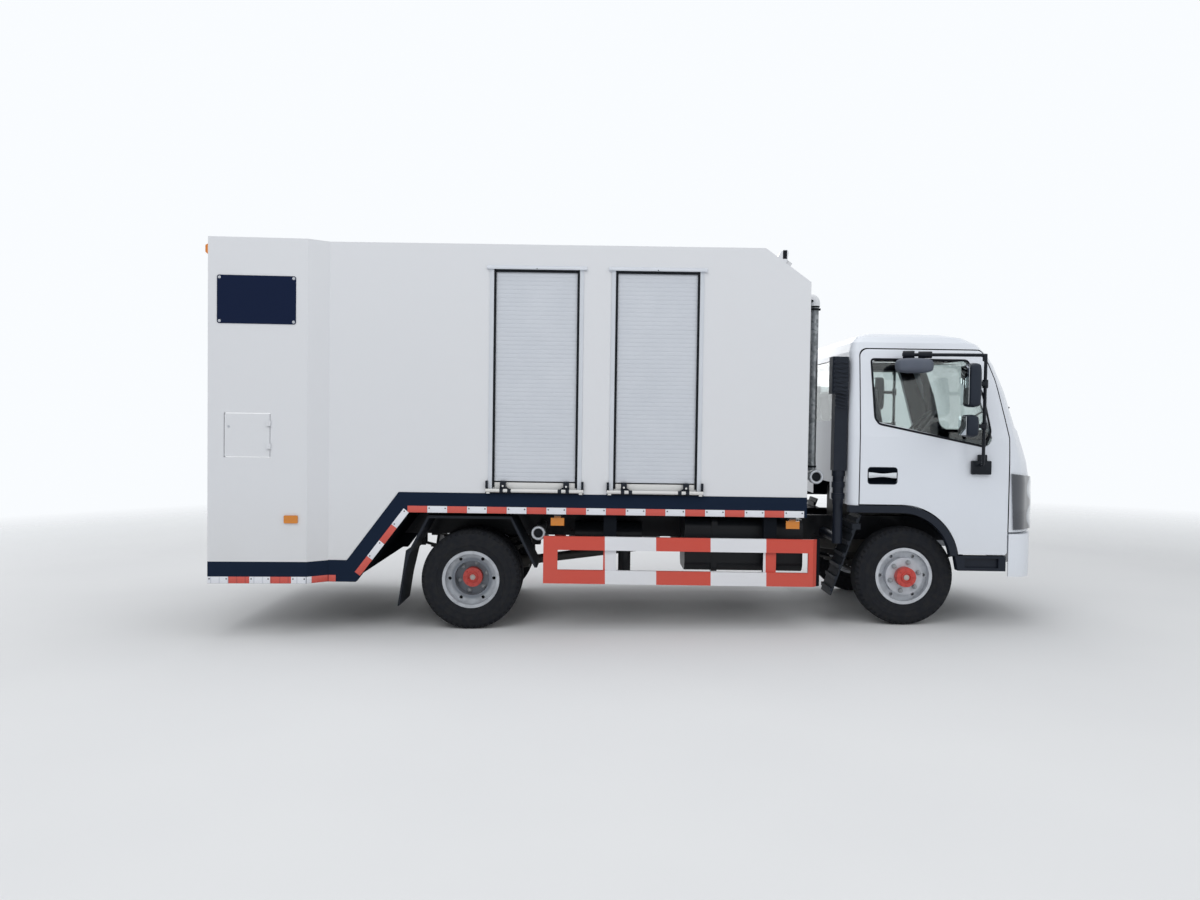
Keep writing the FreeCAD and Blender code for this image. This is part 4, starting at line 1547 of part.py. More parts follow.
# Doors with a chrome-grip recess, and their panes
handle = block((2986.0, 3212.0), (CAB_SIDE - HATCH_THICK, CAB_SIDE + OVERRUN), (1104.0, 1178.0))
grip = block((2986.0 - STUB_CLEAR, 3212.0 + STUB_CLEAR), (CAB_SIDE - STRAP_THICK * 2, CAB_SIDE - RUNNING_GAP), (1134.0, 1152.0))
door_left = fused([door_left.cut(handle), grip])
keep("door_left", door_left.copy())
keep("door_right", other_side(door_left))
keep("door_glass_left", door_glass.copy())
keep("door_glass_right", other_side(door_glass))

# Grille bars and the lamps let into the front corners
grille_points = rectangle((-GRILLE_SIDE, GRILLE_SIDE), (GRILLE_BOTTOM, GRILLE_TOP), 40.0)
grille_layer = cab_hull(-GRILLE_PROUD).cut(cab_hull(-RUNNING_GAP))
bars = []
pitch = (GRILLE_TOP - GRILLE_BOTTOM - GRILLE_BAR_HEIGHT) / (GRILLE_BAR_COUNT - 1)
front_x = (CAB_NOSE - GUARD_POST, CAB_NOSE + OVERRUN * 2)
for index in range(GRILLE_BAR_COUNT):
    z = GRILLE_BOTTOM + pitch * index
    bars.append(grille_layer.common(block(front_x, (-GRILLE_SIDE, GRILLE_SIDE), (z, z + GRILLE_BAR_HEIGHT))))
frame_band = grille_layer.common(cross_plate(grille_points, front_x).cut(cross_plate(
    rectangle((-GRILLE_SIDE + GRILLE_BAR_HEIGHT, GRILLE_SIDE - GRILLE_BAR_HEIGHT), (GRILLE_BOTTOM + GRILLE_BAR_HEIGHT, GRILLE_TOP - GRILLE_BAR_HEIGHT), 20.0), front_x)))
keep("grille", fused([frame_band] + bars))
lamp_points = [(LAMP_REAR_LOW, LAMP_BOTTOM + 8.0), (LAMP_REAR_TOP, LAMP_TOP), (CAB_NOSE + OVERRUN, LAMP_TOP - 40.0), (CAB_NOSE + OVERRUN, LAMP_BOTTOM + 8.0)]
lamp = grille_layer.common(side_plate(lamp_points, (LAMP_INNER_SIDE, CAB_SIDE + OVERRUN * 2)))
keep("headlamps", both_sides(lamp))

# Arch flares and steps, black
ring = rod((ARCH_CENTRE_X, CAB_SIDE - FLARE_THICK, ARCH_CENTRE_Z), (ARCH_CENTRE_X, CAB_SIDE + FLARE_PROUD, ARCH_CENTRE_Z), ARCH_RADIUS - RUNNING_GAP)
ring = fused([ring, block((CAB_REAR, ARCH_CENTRE_X), (CAB_SIDE - FLARE_THICK, CAB_SIDE + FLARE_PROUD), (CAB_FLOOR - FLARE_DEPTH * 2, ARCH_CENTRE_Z + ARCH_RADIUS - RUNNING_GAP))])
hole = fused([rod((ARCH_CENTRE_X, 0, ARCH_CENTRE_Z), (ARCH_CENTRE_X, CAB_NOSE, ARCH_CENTRE_Z), ARCH_RADIUS - FLARE_DEPTH),
              block((0, ARCH_CENTRE_X), (0, CAB_NOSE), (0, ARCH_CENTRE_Z + ARCH_RADIUS - FLARE_DEPTH)),
              block((0, CAB_NOSE), (0, CAB_NOSE), (0, CAB_SILL_BOTTOM - DOOR_GAP))])
flare = ring.cut(hole)
step = [(STEP_REAR, STEP_BOTTOM), (STEP_REAR - STRAP_WIDTH / 2, CAB_SILL_BOTTOM - DOOR_GAP), (STEP_FRONT, CAB_SILL_BOTTOM - DOOR_GAP), (STEP_FRONT, STEP_BOTTOM)]
step = side_plate(step, (STEP_INNER, CAB_SIDE + FLARE_PROUD / 2)).cut(
    side_plate([(STEP_REAR + FLARE_DEPTH, STEP_BOTTOM + STRAP_WIDTH / 2), (STEP_REAR + FLARE_DEPTH, CAB_SILL_BOTTOM - FLARE_DEPTH / 2), (STEP_FRONT - FLARE_DEPTH, CAB_SILL_BOTTOM - FLARE_DEPTH / 2),
                (STEP_FRONT - FLARE_DEPTH, STEP_BOTTOM + STRAP_WIDTH / 2)], (STEP_INNER + STRAP_WIDTH, CAB_SIDE + OVERRUN)))
keep("cab_trim", both_sides(Part.makeCompound([flare, step])))

# Seats with raked backs, dashboard and steering wheel


def seat(y, width):
    """Cushion on its box, and a back leaning to the rear."""
    span = (y - width / 2, y + width / 2)
    cushion = side_plate([(SEAT_REAR, SEAT_TOP - SEAT_CUSHION), (SEAT_REAR, SEAT_TOP, SEAT_ROUND), (SEAT_REAR + SEAT_DEPTH, SEAT_TOP, SEAT_ROUND * 1.5),
                          (SEAT_REAR + SEAT_DEPTH, SEAT_TOP - SEAT_CUSHION, SEAT_ROUND / 2)], span)
    plinth = block((SEAT_REAR + SEAT_ROUND, SEAT_REAR + SEAT_DEPTH - SEAT_ROUND * 2), (span[0] + SEAT_ROUND, span[1] - SEAT_ROUND),
                   (CAB_FLOOR + RUNNING_GAP, SEAT_TOP - SEAT_CUSHION))
    if abs(y) < TUNNEL_SIDE + TUNNEL_WALL + width / 2:
        plinth = plinth.cut(block((CAB_REAR, TUNNEL_FRONT), (-TUNNEL_SIDE - TUNNEL_WALL - RUNNING_GAP, TUNNEL_SIDE + TUNNEL_WALL + RUNNING_GAP), (CAB_FLOOR, TUNNEL_TOP + RUNNING_GAP)))
    top_z = SEAT_TOP + SEAT_BACK_HEIGHT
    rest = side_plate([(SEAT_REAR + SEAT_BACK_THICK * 0.2, SEAT_TOP - SEAT_ROUND), (SEAT_REAR - SEAT_RAKE / 2, top_z, SEAT_ROUND),
                       (SEAT_REAR - SEAT_RAKE / 2 + SEAT_BACK_THICK * 0.8, top_z, SEAT_ROUND), (SEAT_REAR + SEAT_BACK_THICK * 1.2, SEAT_TOP - SEAT_ROUND)], span)
    return fused([cushion, plinth, rest])


keep("seats", Part.makeCompound([seat(SEAT_SIDE, SEAT_WIDTH * 0.94), seat(-SEAT_SIDE, SEAT_WIDTH * 0.94), seat(0, SEAT_WIDTH)]))
dash = side_plate([(DASH_REAR + OVERRUN, DASH_BOTTOM, SEAT_ROUND), (DASH_REAR, DASH_TOP - SEAT_ROUND, SEAT_ROUND), (DASH_REAR + DASH_BOTTOM / 6, DASH_TOP, SEAT_ROUND),
                   (CAB_NOSE, DASH_TOP - SEAT_ROUND), (CAB_NOSE, DASH_BOTTOM)], (-DASH_SIDE, DASH_SIDE))
dash = dash.common(cab_hull(CAB_WALL + RUNNING_GAP))
slope = math.radians(WHEEL_SLOPE_DEGREES)
tilt = V(math.cos(slope) * -1, 0, math.sin(slope))
hub_point = V(WHEEL_CENTRE_X, STEERING_SIDE, WHEEL_CENTRE_Z)
column = Part.makeCylinder(COLUMN_RADIUS, WHEEL_RIM_RADIUS * 1.6, hub_point, tilt * -1)
ring = Part.makeCylinder(WHEEL_RIM_RADIUS, WHEEL_RIM_TUBE, hub_point - tilt * (WHEEL_RIM_TUBE / 2), tilt)
ring = ring.cut(Part.makeCylinder(WHEEL_RIM_RADIUS - WHEEL_RIM_TUBE * 2, WHEEL_RIM_TUBE * 2, hub_point - tilt * WHEEL_RIM_TUBE, tilt))
spokes = [column, ring]
for turn in (0, 120, 240):
    spoke = Part.makeBox(WHEEL_RIM_RADIUS - WHEEL_RIM_TUBE, STRAP_WIDTH / 1.4, HANGER_THICK, V(0, -STRAP_WIDTH / 2.8, -HANGER_THICK / 2))
    spoke.rotate(V(0, 0, 0), V(0, 0, 1), turn)
    spoke.rotate(V(0, 0, 0), V(0, 1, 0), WHEEL_SLOPE_DEGREES - 90)
    spoke.translate(hub_point)
    spokes.append(spoke)
keep("dashboard", fused([dash] + spokes))

# Front bumper under the cab: a bowed shell with a rounded top edge and corners turned to the side


def bumper_plan(inset, z):
    """The bumper's plan outline moved in by inset, as tall as z."""
    half = [(BUMPER_END, BUMPER_SIDE - inset, 0), (CAB_NOSE - BUMPER_CORNER_BACK - inset, BUMPER_SIDE - inset, BUMPER_CORNER_RADIUS - inset),
            (CAB_NOSE - BUMPER_CHEEK_BACK - inset, BUMPER_CHEEK_SIDE - inset, CHEEK_RADIUS), (CAB_NOSE - inset, BUMPER_FLAT_SIDE, NOSE_RADIUS)]
    return plan_plate(half + [(x, -y, r) for x, y, r in reversed(half)], z)


def bumper_form(inset):
    """Closed form of the bumper, or the same moved in by inset."""
    plan = bumper_plan(inset, (BUMPER_BOTTOM, BUMPER_TOP - inset))
    section = side_plate([(BUMPER_END, BUMPER_BOTTOM - OVERRUN), (BUMPER_END, BUMPER_TOP - inset), (CAB_NOSE - inset, BUMPER_TOP - inset, BUMPER_ROUND),
                          (CAB_NOSE - inset, BUMPER_BOTTOM - OVERRUN)], (-BUMPER_SIDE, BUMPER_SIDE))
    return plan.common(section)


bumper = [bumper_form(0).cut(bumper_form(BUMPER_WALL)).cut(bumper_plan(BUMPER_RETURN, (BUMPER_BOTTOM - OVERRUN, BUMPER_TOP + OVERRUN)))]
bracket_x = (BUMPER_BRACKET_REAR, BUMPER_BRACKET_REAR + BUMPER_BRACKET_LENGTH)
for out in (1, -1):
    y = sorted((out * (BUMPER_BRACKET_SIDE - BUMPER_BRACKET_WIDTH / 2), out * (BUMPER_BRACKET_SIDE + BUMPER_BRACKET_WIDTH / 2)))
    foot = block((bracket_x[0], CAB_NOSE), y, (BUMPER_BRACKET_LOW, BUMPER_BRACKET_LOW + BUMPER_BRACKET_HEIGHT))
    bumper.append(foot.common(bumper_form(BUMPER_WALL / 2)))
    bumper.append(block(bracket_x, y, (BUMPER_BRACKET_LOW, CAB_PANEL_BOTTOM - RUNNING_GAP)))
keep("front_bumper", fused(bumper))

# Mirrors on the doors: a bent tube with arms, two heads seen from behind and one over the kerb


def mirror():
    """Left mirror set."""
    side = MIRROR_TUBE_SIDE
    top = (MIRROR_TUBE_X, side, MIRROR_TUBE_TOP)
    low = (MIRROR_TUBE_X, side, MIRROR_TUBE_LOW)
    foot_y = CAB_SIDE + RUNNING_GAP
    arm_y = CAB_SIDE - 70.0
    solids = [rod(low, top, MIRROR_TUBE_RADIUS)]
    solids.append(rod(top, (MIRROR_ARM_REAR, arm_y, MIRROR_TUBE_TOP), MIRROR_TUBE_RADIUS))
    foot = (MIRROR_TUBE_X, foot_y, MIRROR_TUBE_LOW)
    solids.append(rod(low, foot, MIRROR_TUBE_RADIUS))
    solids.append(block((MIRROR_TUBE_X - STRAP_WIDTH, MIRROR_TUBE_X + STRAP_WIDTH), (foot_y, foot_y + OVERRUN), (MIRROR_TUBE_LOW - STRAP_WIDTH, MIRROR_TUBE_LOW + STRAP_WIDTH)))
    for z in ((MIRROR_HEAD_LOW, MIRROR_HEAD_TOP), (WIDE_HEAD_LOW, WIDE_HEAD_TOP)):
        head = cross_plate(rectangle((side - MIRROR_TUBE_RADIUS, side + MIRROR_HEAD_WIDTH), z, MIRROR_ROUND), (MIRROR_TUBE_X - MIRROR_HEAD_DEPTH, MIRROR_TUBE_X))
        solids.append(head)
    return fused(solids).cut(cab_hull(-RUNNING_GAP))


mirror_left = mirror()
keep("mirror_left", mirror_left.copy())
keep("mirror_right", other_side(mirror_left))

# Air intake behind the cab: louvred head, stem, ribbed bellows and duct
head_y = (-SNORKEL_SIDE - SNORKEL_WIDTH / 2, -SNORKEL_SIDE + SNORKEL_WIDTH / 2)
intake = [plan_plate(rectangle((SNORKEL_REAR, SNORKEL_FRONT), head_y, MIRROR_ROUND), (SNORKEL_LOUVRE_BOTTOM, SNORKEL_TOP))]
pitch = (SNORKEL_TOP - SNORKEL_LOUVRE_BOTTOM) / (LOUVRE_COUNT + 1)
for index in range(LOUVRE_COUNT):
    z = SNORKEL_LOUVRE_BOTTOM + pitch * (index + 0.6)
    intake.append(block((SNORKEL_REAR + LOUVRE_PROUD, SNORKEL_FRONT - LOUVRE_PROUD), (head_y[0] - LOUVRE_PROUD, head_y[1] + LOUVRE_PROUD), (z, z + pitch / 2)))
stem_x = (SNORKEL_REAR + MIRROR_ROUND, SNORKEL_FRONT)
intake.append(block(stem_x, (head_y[0] + MIRROR_ROUND, head_y[1] - MIRROR_ROUND), (SNORKEL_BOTTOM, SNORKEL_LOUVRE_BOTTOM + RUNNING_GAP)))
stem_mid = (stem_x[0] + stem_x[1]) / 2
rib = (SNORKEL_BOTTOM - BELLOWS_BOTTOM) / (BELLOWS_RIBS * 2)
for index in range(BELLOWS_RIBS * 2):
    radius = BELLOWS_RADIUS if index % 2 else BELLOWS_RADIUS - LOUVRE_PROUD
    z = BELLOWS_BOTTOM + rib * index
    intake.append(rod((stem_mid, -SNORKEL_SIDE, z), (stem_mid, -SNORKEL_SIDE, z + rib), radius))
intake.append(rod((stem_mid, -SNORKEL_SIDE, DUCT_BOTTOM - DUCT_RADIUS), (stem_mid, -SNORKEL_SIDE, BELLOWS_BOTTOM), DUCT_RADIUS))
intake.append(rod((stem_mid, -SNORKEL_SIDE, DUCT_BOTTOM), (stem_mid, -FRAME_SIDE - RUNNING_GAP, DUCT_BOTTOM), DUCT_RADIUS))
keep("air_intake", fused(intake))

os.makedirs("parts", exist_ok=True)
for name in pieces:
    pieces[name].exportStep("parts/" + name + ".step")
box = FreeCAD.BoundBox()
for name in pieces:
    box.add(pieces[name].optimalBoundingBox())
print("nodes", len(pieces), "length", box.XMin, box.XMax, "width", box.YMin, box.YMax, "height", box.ZMin, box.ZMax)
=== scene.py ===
from math import atan2, cos, hypot, pi, radians, sin, tau
import bpy
from mathutils import Matrix, Vector


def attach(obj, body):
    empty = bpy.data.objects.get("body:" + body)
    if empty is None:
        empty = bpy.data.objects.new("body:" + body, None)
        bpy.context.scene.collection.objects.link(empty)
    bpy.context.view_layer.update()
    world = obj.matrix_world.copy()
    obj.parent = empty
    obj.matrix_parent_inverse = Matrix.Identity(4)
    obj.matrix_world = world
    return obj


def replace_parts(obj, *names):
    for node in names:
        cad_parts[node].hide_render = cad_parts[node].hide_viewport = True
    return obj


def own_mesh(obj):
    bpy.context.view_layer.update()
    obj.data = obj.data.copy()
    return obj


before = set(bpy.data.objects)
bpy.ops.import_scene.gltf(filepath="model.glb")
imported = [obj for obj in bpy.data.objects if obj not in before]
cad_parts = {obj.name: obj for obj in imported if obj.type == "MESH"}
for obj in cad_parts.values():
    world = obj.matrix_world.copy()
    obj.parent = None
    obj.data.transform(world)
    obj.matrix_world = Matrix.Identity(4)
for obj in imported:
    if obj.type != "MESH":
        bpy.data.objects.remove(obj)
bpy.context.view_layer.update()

# The camera stands on the kerb side at chest height, level with the middle of the truck, with a wide lens.
# It is turned, tilted and rolled by the small angles that the photograph's own lines give.
view_turn, view_tilt, view_roll = 0.0023, -0.0311, 0.0031
bpy.ops.object.camera_add(location=(-0.3052, -8.47312, 1.58867))
camera = bpy.context.object
camera.data.lens, camera.data.sensor_width = 30.0, 36.0
camera.matrix_world = (Matrix.Translation(camera.location) @ Matrix.Rotation(-view_turn, 4, "Z")
                       @ Matrix.Rotation(pi / 2 + view_tilt, 4, "X") @ Matrix.Rotation(-view_roll, 4, "Z"))
bpy.context.scene.camera = camera


# The ladder frame: two pressed channel rails with riveted cross members, and the body's bearers on top.
# Sprayed with black chassis enamel, which shows as a soft sheen with road dust settling on the lower faces.
def linear(hex_colour):
    """A colour written as sRGB hex, as the linear light that a shader wants."""
    parts = [int(hex_colour[at:at + 2], 16) / 255 for at in (1, 3, 5)]
    return [part / 12.92 if part <= 0.04045 else ((part + 0.055) / 1.055) ** 2.4 for part in parts] + [1.0]


def add(material, kind, inputs={}, out=0, **settings):
    """One shader node with its settings, its inputs set or linked; gives one output or all of them."""
    node = material.node_tree.nodes.new("ShaderNode" + kind)
    for name, value in settings.items():
        setattr(node, name, value)
    for name, value in inputs.items():
        if isinstance(value, bpy.types.NodeSocket):
            material.node_tree.links.new(value, node.inputs[name])
        else:
            node.inputs[name].default_value = linear(value) if isinstance(value, str) else value
    return node.outputs if out is None else node.outputs[out]


# What a mix of two colours needs.
blend = {"data_type": "RGBA", "out": 2}


def finish(name, roughness, metallic=0.0, **others):
    """A new material with its constants on the shader's sockets, and the coordinates for its maps."""
    material = bpy.data.materials.new(name)
    material.use_nodes = True
    shader = material.node_tree.nodes["Principled BSDF"]
    for socket, value in {"Roughness": roughness, "Metallic": metallic, **others}.items():
        shader.inputs[socket].default_value = value
    return material, add(material, "TexCoord", out="Object")


def wire(material, socket, source):
    """Links a source to a socket of the material's own shader."""
    material.node_tree.links.new(source, material.node_tree.nodes["Principled BSDF"].inputs[socket])


def enamel(name, colour, dust, roughness, low=0.2, high=1.0, shine=0.5):
    """Sprayed enamel: the faint orange peel of the gun, slightly uneven gloss, and road dust that thins
    upwards. Colour is hex, or a function that gives a socket, and shine is the gloss. Where a function gives
    a dark colour, such as lining or the black below, which is underseal and painted shade, it is dull,
    and dust hardly shows on it."""
    material, place = finish(name, roughness,
                             **{"Coat Weight": shine / 2, "Coat Roughness": 0.08,
                                "Specular IOR Level": shine})
    height = add(material, "SeparateXYZ", {0: place}, out=2)
    film = add(material, "TexNoise", {"Vector": place, "Scale": 3.1, "Detail": 6.0})
    lowness = add(material, "MapRange", {0: height, 1: low, 2: high, 3: 0.3, 4: 0.0})
    share = add(material, "Math", {0: film, 1: lowness}, operation="MULTIPLY")
    if callable(colour):
        colour = colour(material, place)
        pale = add(material, "RGBToBW", {0: colour})
        pale = add(material, "MapRange", {0: pale, 1: 0.02, 2: 0.3, 3: 0.0, 4: 1.0})
        for socket, most in (("Coat Weight", shine / 2), ("Specular IOR Level", shine)):
            wire(material, socket, add(material, "Math", {0: pale, 1: most}, operation="MULTIPLY"))
        share = add(material, "Math", {0: share, 1: pale}, operation="MULTIPLY")
    wire(material, "Base Color", add(material, "Mix", {0: share, 6: colour, 7: dust}, **blend))
    wire(material, "Roughness",
         add(material, "MapRange", {0: film, 3: roughness - 0.02, 4: roughness + 0.05}))
    ripple = add(material, "TexNoise", {"Vector": place, "Scale": 1 / 0.006, "Detail": 1.0})
    wire(material, "Normal", add(material, "Bump", {"Strength": 0.12, "Distance": 0.0006, "Height": ripple}))
    return material


def dress(material, *nodes):
    """Gives CAD nodes their finish through their material slots."""
    for node in nodes:
        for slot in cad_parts[node].material_slots:
            slot.material = material


def pick(piece):
    """Makes a piece the only selected one, and the active one."""
    bpy.ops.object.select_all(action="DESELECT")
    piece.select_set(True)
    bpy.context.view_layer.objects.active = piece


def settle(piece, place=Matrix()):
    """Turns and moves a piece by its mesh, so that its object sits at the origin."""
    bpy.context.view_layer.update()
    piece.matrix_world = place @ piece.matrix_world
    pick(piece)
    bpy.ops.object.transform_apply(location=True, rotation=True, scale=True)
    return piece


def smooth(piece, angle=35):
    """Shades a piece smooth where its faces meet at less than an angle."""
    pick(piece)
    bpy.ops.object.shade_smooth_by_angle(angle=radians(angle))
    return piece


def modified(piece, kind, **settings):
    """Puts a modifier on a piece and applies it."""
    pick(piece)
    change = piece.modifiers.new(kind.lower(), kind)
    for setting, value in settings.items():
        setattr(change, setting, value)
    bpy.ops.object.modifier_apply(modifier=change.name)
    return piece


def disc(name, centre, axis, radius, length, sides=24, edge=0.0):
    """A round or many-sided stud about an axis, its rims eased."""
    turn = Vector((0, 0, 1)).rotation_difference(Vector(axis)).to_matrix().to_4x4()
    bpy.ops.mesh.primitive_cylinder_add(vertices=sides, radius=radius, depth=length)
    piece = bpy.context.object
    piece.name = name
    settle(piece, Matrix.Translation(centre) @ turn)
    if edge:
        modified(piece, "BEVEL", width=edge, segments=2, limit_method="ANGLE", angle_limit=radians(62))
    return smooth(piece)


def joined(name, pieces):
    """Several finished pieces as one."""
    pick(pieces[0])
    for piece in pieces:
        piece.select_set(True)
    bpy.ops.object.join()
    pieces[0].name = name
    return pieces[0]


def twin_of(piece):
    """A copy of a piece with a mesh of its own."""
    twin = piece.copy()
    twin.data = piece.data.copy()
    bpy.context.collection.objects.link(twin)
    return twin


def copied(piece, places):
    """One modelled piece put at each place, all joined under its name."""
    twins = [settle(twin_of(piece), place if isinstance(place, Matrix) else Matrix.Translation(place))
             for place in places]
    name = piece.name
    bpy.data.objects.remove(piece)
    return joined(name, twins)


def outwards(piece):
    """Turns all faces of the active piece right side out, and leaves edit mode."""
    bpy.ops.object.mode_set(mode="EDIT")
    bpy.ops.mesh.select_all(action="SELECT")
    bpy.ops.mesh.normals_make_consistent(inside=False)
    bpy.ops.object.mode_set(mode="OBJECT")
    return piece


def fitted(piece, material, body):
    """Gives a finished piece its material and the body that it moves with."""
    piece.data.materials.clear()
    piece.data.materials.append(material)
    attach(piece, body)
    return piece


def on_both_sides(piece, material, body):
    """Fits a right-hand piece and its mirror image on the left, and returns the two."""
    twin = outwards(settle(twin_of(piece), Matrix.Scale(-1, 4, (0, 1, 0))))
    twin.name = piece.name.replace("right", "left")
    fitted(piece, material, body)
    return piece, fitted(twin, material, body.replace("right", "left"))


rear_axle_x, wheelbase, pivot_height = 1.26934, 3.308, 0.37
nose_down = (Matrix.Translation((wheelbase - rear_axle_x, 0, pivot_height))
             @ Matrix.Rotation(radians(1), 4, "Y") @ Matrix.Translation((-wheelbase, 0, -pivot_height)))
dark_dust = "#4c4a46"
chassis_enamel = enamel("black_chassis_enamel", "#171a20", dark_dust, 0.42, shine=0.15)
dress(chassis_enamel, "chassis_frame", "body_bearers")
bolt = joined("frame_bolts_right", [disc("head", (0, -0.379, 0), (0, 1, 0), 0.0105, 0.009, 6, 0.001),
                                    disc("washer", (0, -0.3755, 0), (0, 1, 0), 0.014, 0.002, 16)])
settle(bolt, Matrix.Translation((0, 0, 0.64)))
bolts = copied(bolt, [nose_down @ Matrix.Translation((-0.52 + 0.18 * step, 0, rise)) for step in range(26)
                      for rise in (0, 0.115)])
on_both_sides(bolts, chassis_enamel, "chassis")

# Axles, knuckles and leaf springs: forged and cast steel under a thin coat of black or grey primer.
# Forged faces stay slightly rough, and dust sits thick on everything this near the road.
def cast_steel(name, colour, dust, roughness):
    """Cast or forged steel in primer, with the sand's 4 mm grain and dust in blotches."""
    material, place = finish(name, roughness, 0.35)
    grain = add(material, "TexNoise", {"Vector": place, "Scale": 1 / 0.004, "Detail": 3.0})
    blotch = add(material, "TexNoise", {"Vector": place, "Scale": 14.0, "Detail": 5.0})
    wire(material, "Base Color", add(material, "Mix", {0: blotch, 6: colour, 7: dust}, **blend))
    wire(material, "Normal", add(material, "Bump", {"Strength": 0.35, "Distance": 0.0008, "Height": grain}))
    return material


axle_black = cast_steel("primed_axle_forging", "#16181d", "#33322f", 0.6)
spring_grey = cast_steel("primed_spring_steel", "#23262b", "#45423d", 0.55)
engine_grey = cast_steel("bare_cast_iron", "#4a4c4e", "#5c5851", 0.6)
dress(axle_black, "front_axle", "rear_axle")
dress(spring_grey, "leaf_springs", "knuckle_left", "knuckle_right", "track_rod")
dress(engine_grey, "drive_train")


def drawn(name, points):
    """A line drawn from point to point, left in edit mode with all of it selected."""
    bpy.ops.mesh.primitive_plane_add(size=0.001, location=points[0])
    piece = bpy.context.object
    piece.name = name
    bpy.ops.object.mode_set(mode="EDIT")
    bpy.ops.mesh.select_all(action="SELECT")
    bpy.ops.mesh.merge(type="CENTER")
    for here, there in zip(points, points[1:]):
        bpy.ops.mesh.extrude_region_move(TRANSFORM_OT_translate={"value": Vector(there) - Vector(here)})
    bpy.ops.mesh.select_all(action="SELECT")
    return piece


def rod(name, points, radius, bend=0.0, sides=12, steps=5):
    """A round bar or pipe along a line, bent at its corners, with closed ends."""
    piece = drawn(name, points)
    if bend:
        bpy.ops.mesh.bevel(offset=bend, segments=steps, affect="VERTICES")
    bpy.ops.object.mode_set(mode="OBJECT")
    bpy.ops.object.convert(target="CURVE")
    piece = bpy.context.object
    piece.data.bevel_depth, piece.data.bevel_resolution = radius, max(1, sides // 4 - 1)
    piece.data.use_fill_caps = True
    bpy.ops.object.convert(target="MESH")
    piece = bpy.context.object
    piece.name = name
    return smooth(settle(piece), 50)


on_road = Matrix.Translation((-rear_axle_x, 0, 0))
u_bolts = []
for axle_x in (wheelbase, 0.0):
    for along in (-0.062, 0.062):
        over = [(axle_x + along, across, up) for across,
                up in ((-0.384, 0.30), (-0.384, 0.545), (-0.300, 0.545), (-0.300, 0.30))]
        u_bolts.append(settle(rod("u_bolt", over, 0.008, 0.03, 8, 4), on_road))
on_both_sides(joined("spring_u_bolts_right", u_bolts), spring_grey, "chassis")

# Six radial tyres: moulded black rubber, a ribbed tread with cut shoulders, and sidewalls with fine rings.
# The rubber is dull and brown with dust, darker in its grooves. Each stands for its solid of the part.
def rubber(name, colour, dust):
    """Tyre rubber: a 3 mm grain, and dust in flecks a few centimetres wide."""
    material, place = finish(name, 0.82, **{"Specular IOR Level": 0.2})
    fleck = add(material, "TexNoise", {"Vector": place, "Scale": 26.0, "Detail": 6.0})
    grain = add(material, "TexNoise", {"Vector": place, "Scale": 1 / 0.003, "Detail": 2.0})
    dusty = add(material, "MapRange", {0: fleck, 1: 0.4, 2: 0.75, 3: 0.0, 4: 0.35})
    wire(material, "Base Color", add(material, "Mix", {0: dusty, 6: colour, 7: dust}, **blend))
    wire(material, "Normal", add(material, "Bump", {"Strength": 0.25, "Distance": 0.0005, "Height": grain}))
    return material


def turned(name, profile, steps, closed=True):
    """A piece turned about the axle's direction from its section, merged and with its faces outwards."""
    piece = drawn(name, profile)
    if closed:
        bpy.ops.mesh.edge_face_add()
        bpy.ops.mesh.delete(type="ONLY_FACE")
        bpy.ops.mesh.select_all(action="SELECT")
    bpy.ops.mesh.spin(steps=steps, angle=tau, center=(0, 0, 0), axis=(0, 1, 0))
    bpy.ops.mesh.select_all(action="SELECT")
    bpy.ops.mesh.remove_doubles(threshold=0.00002)
    return smooth(settle(outwards(piece)))


tyre_rubber = rubber("moulded_tyre_rubber", "#1e2025", "#34332f")
tread_steps, wheel_radius = 156, 0.376
half_section = [(0.215, 0.074), (0.229, 0.081), (0.2305, 0.084), (0.238, 0.0855), (0.262, 0.0935),
                (0.2635, 0.0955), (0.2675, 0.0955), (0.269, 0.0945), (0.289, 0.0962), (0.302, 0.0962),
                (0.3035, 0.0968), (0.3075, 0.0962), (0.3085, 0.0948), (0.329, 0.0905), (0.344, 0.0850),
                (0.3505, 0.0835), (0.3600, 0.0775), (0.3685, 0.0730), (0.3735, 0.0660), (0.3748, 0.0550),
                (0.3650, 0.0535), (0.3650, 0.0455), (0.3752, 0.0440), (0.3756, 0.0220), (0.3650, 0.0205),
                (0.3650, 0.0125), (0.3758, 0.0110)]
other_half = [(-across, radius) for radius, across in half_section[::-1]]
section = [(across, radius) for radius, across in half_section] + other_half
tyre = turned("tyre", [(0, across, radius) for across, radius in section], tread_steps)
bpy.ops.object.mode_set(mode="EDIT")
bpy.ops.mesh.select_all(action="DESELECT")
bpy.ops.object.mode_set(mode="OBJECT")
for face in tyre.data.polygons:
    x, y, z = face.center
    turn = int((atan2(z, x) + pi) / tau * tread_steps)
    face.select = turn % 3 == (0 if y > 0 else 1) and hypot(x, z) > 0.352 and abs(y) > 0.064
bpy.ops.object.mode_set(mode="EDIT")
bpy.ops.mesh.extrude_region_shrink_fatten(TRANSFORM_OT_shrink_fatten={"value": -0.004})
bpy.ops.object.mode_set(mode="OBJECT")
for node, along, sides, body in (("tyre_front_right", wheelbase, [-0.768], "right_front_wheel"),
                                 ("tyre_front_left", wheelbase, [0.768], "left_front_wheel"),
                                 ("tyres_rear_right", 0.0, [-0.861, -0.635], "right_rear_wheels"),
                                 ("tyres_rear_left", 0.0, [0.861, 0.635], "left_rear_wheels")):
    tyres = twin_of(tyre)
    tyres.name = node + "_moulded"
    tyres = copied(tyres, [(along - rear_axle_x, side, wheel_radius) for side in sides])
    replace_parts(fitted(tyres, tyre_rubber, body), node)
bpy.data.objects.remove(tyre)
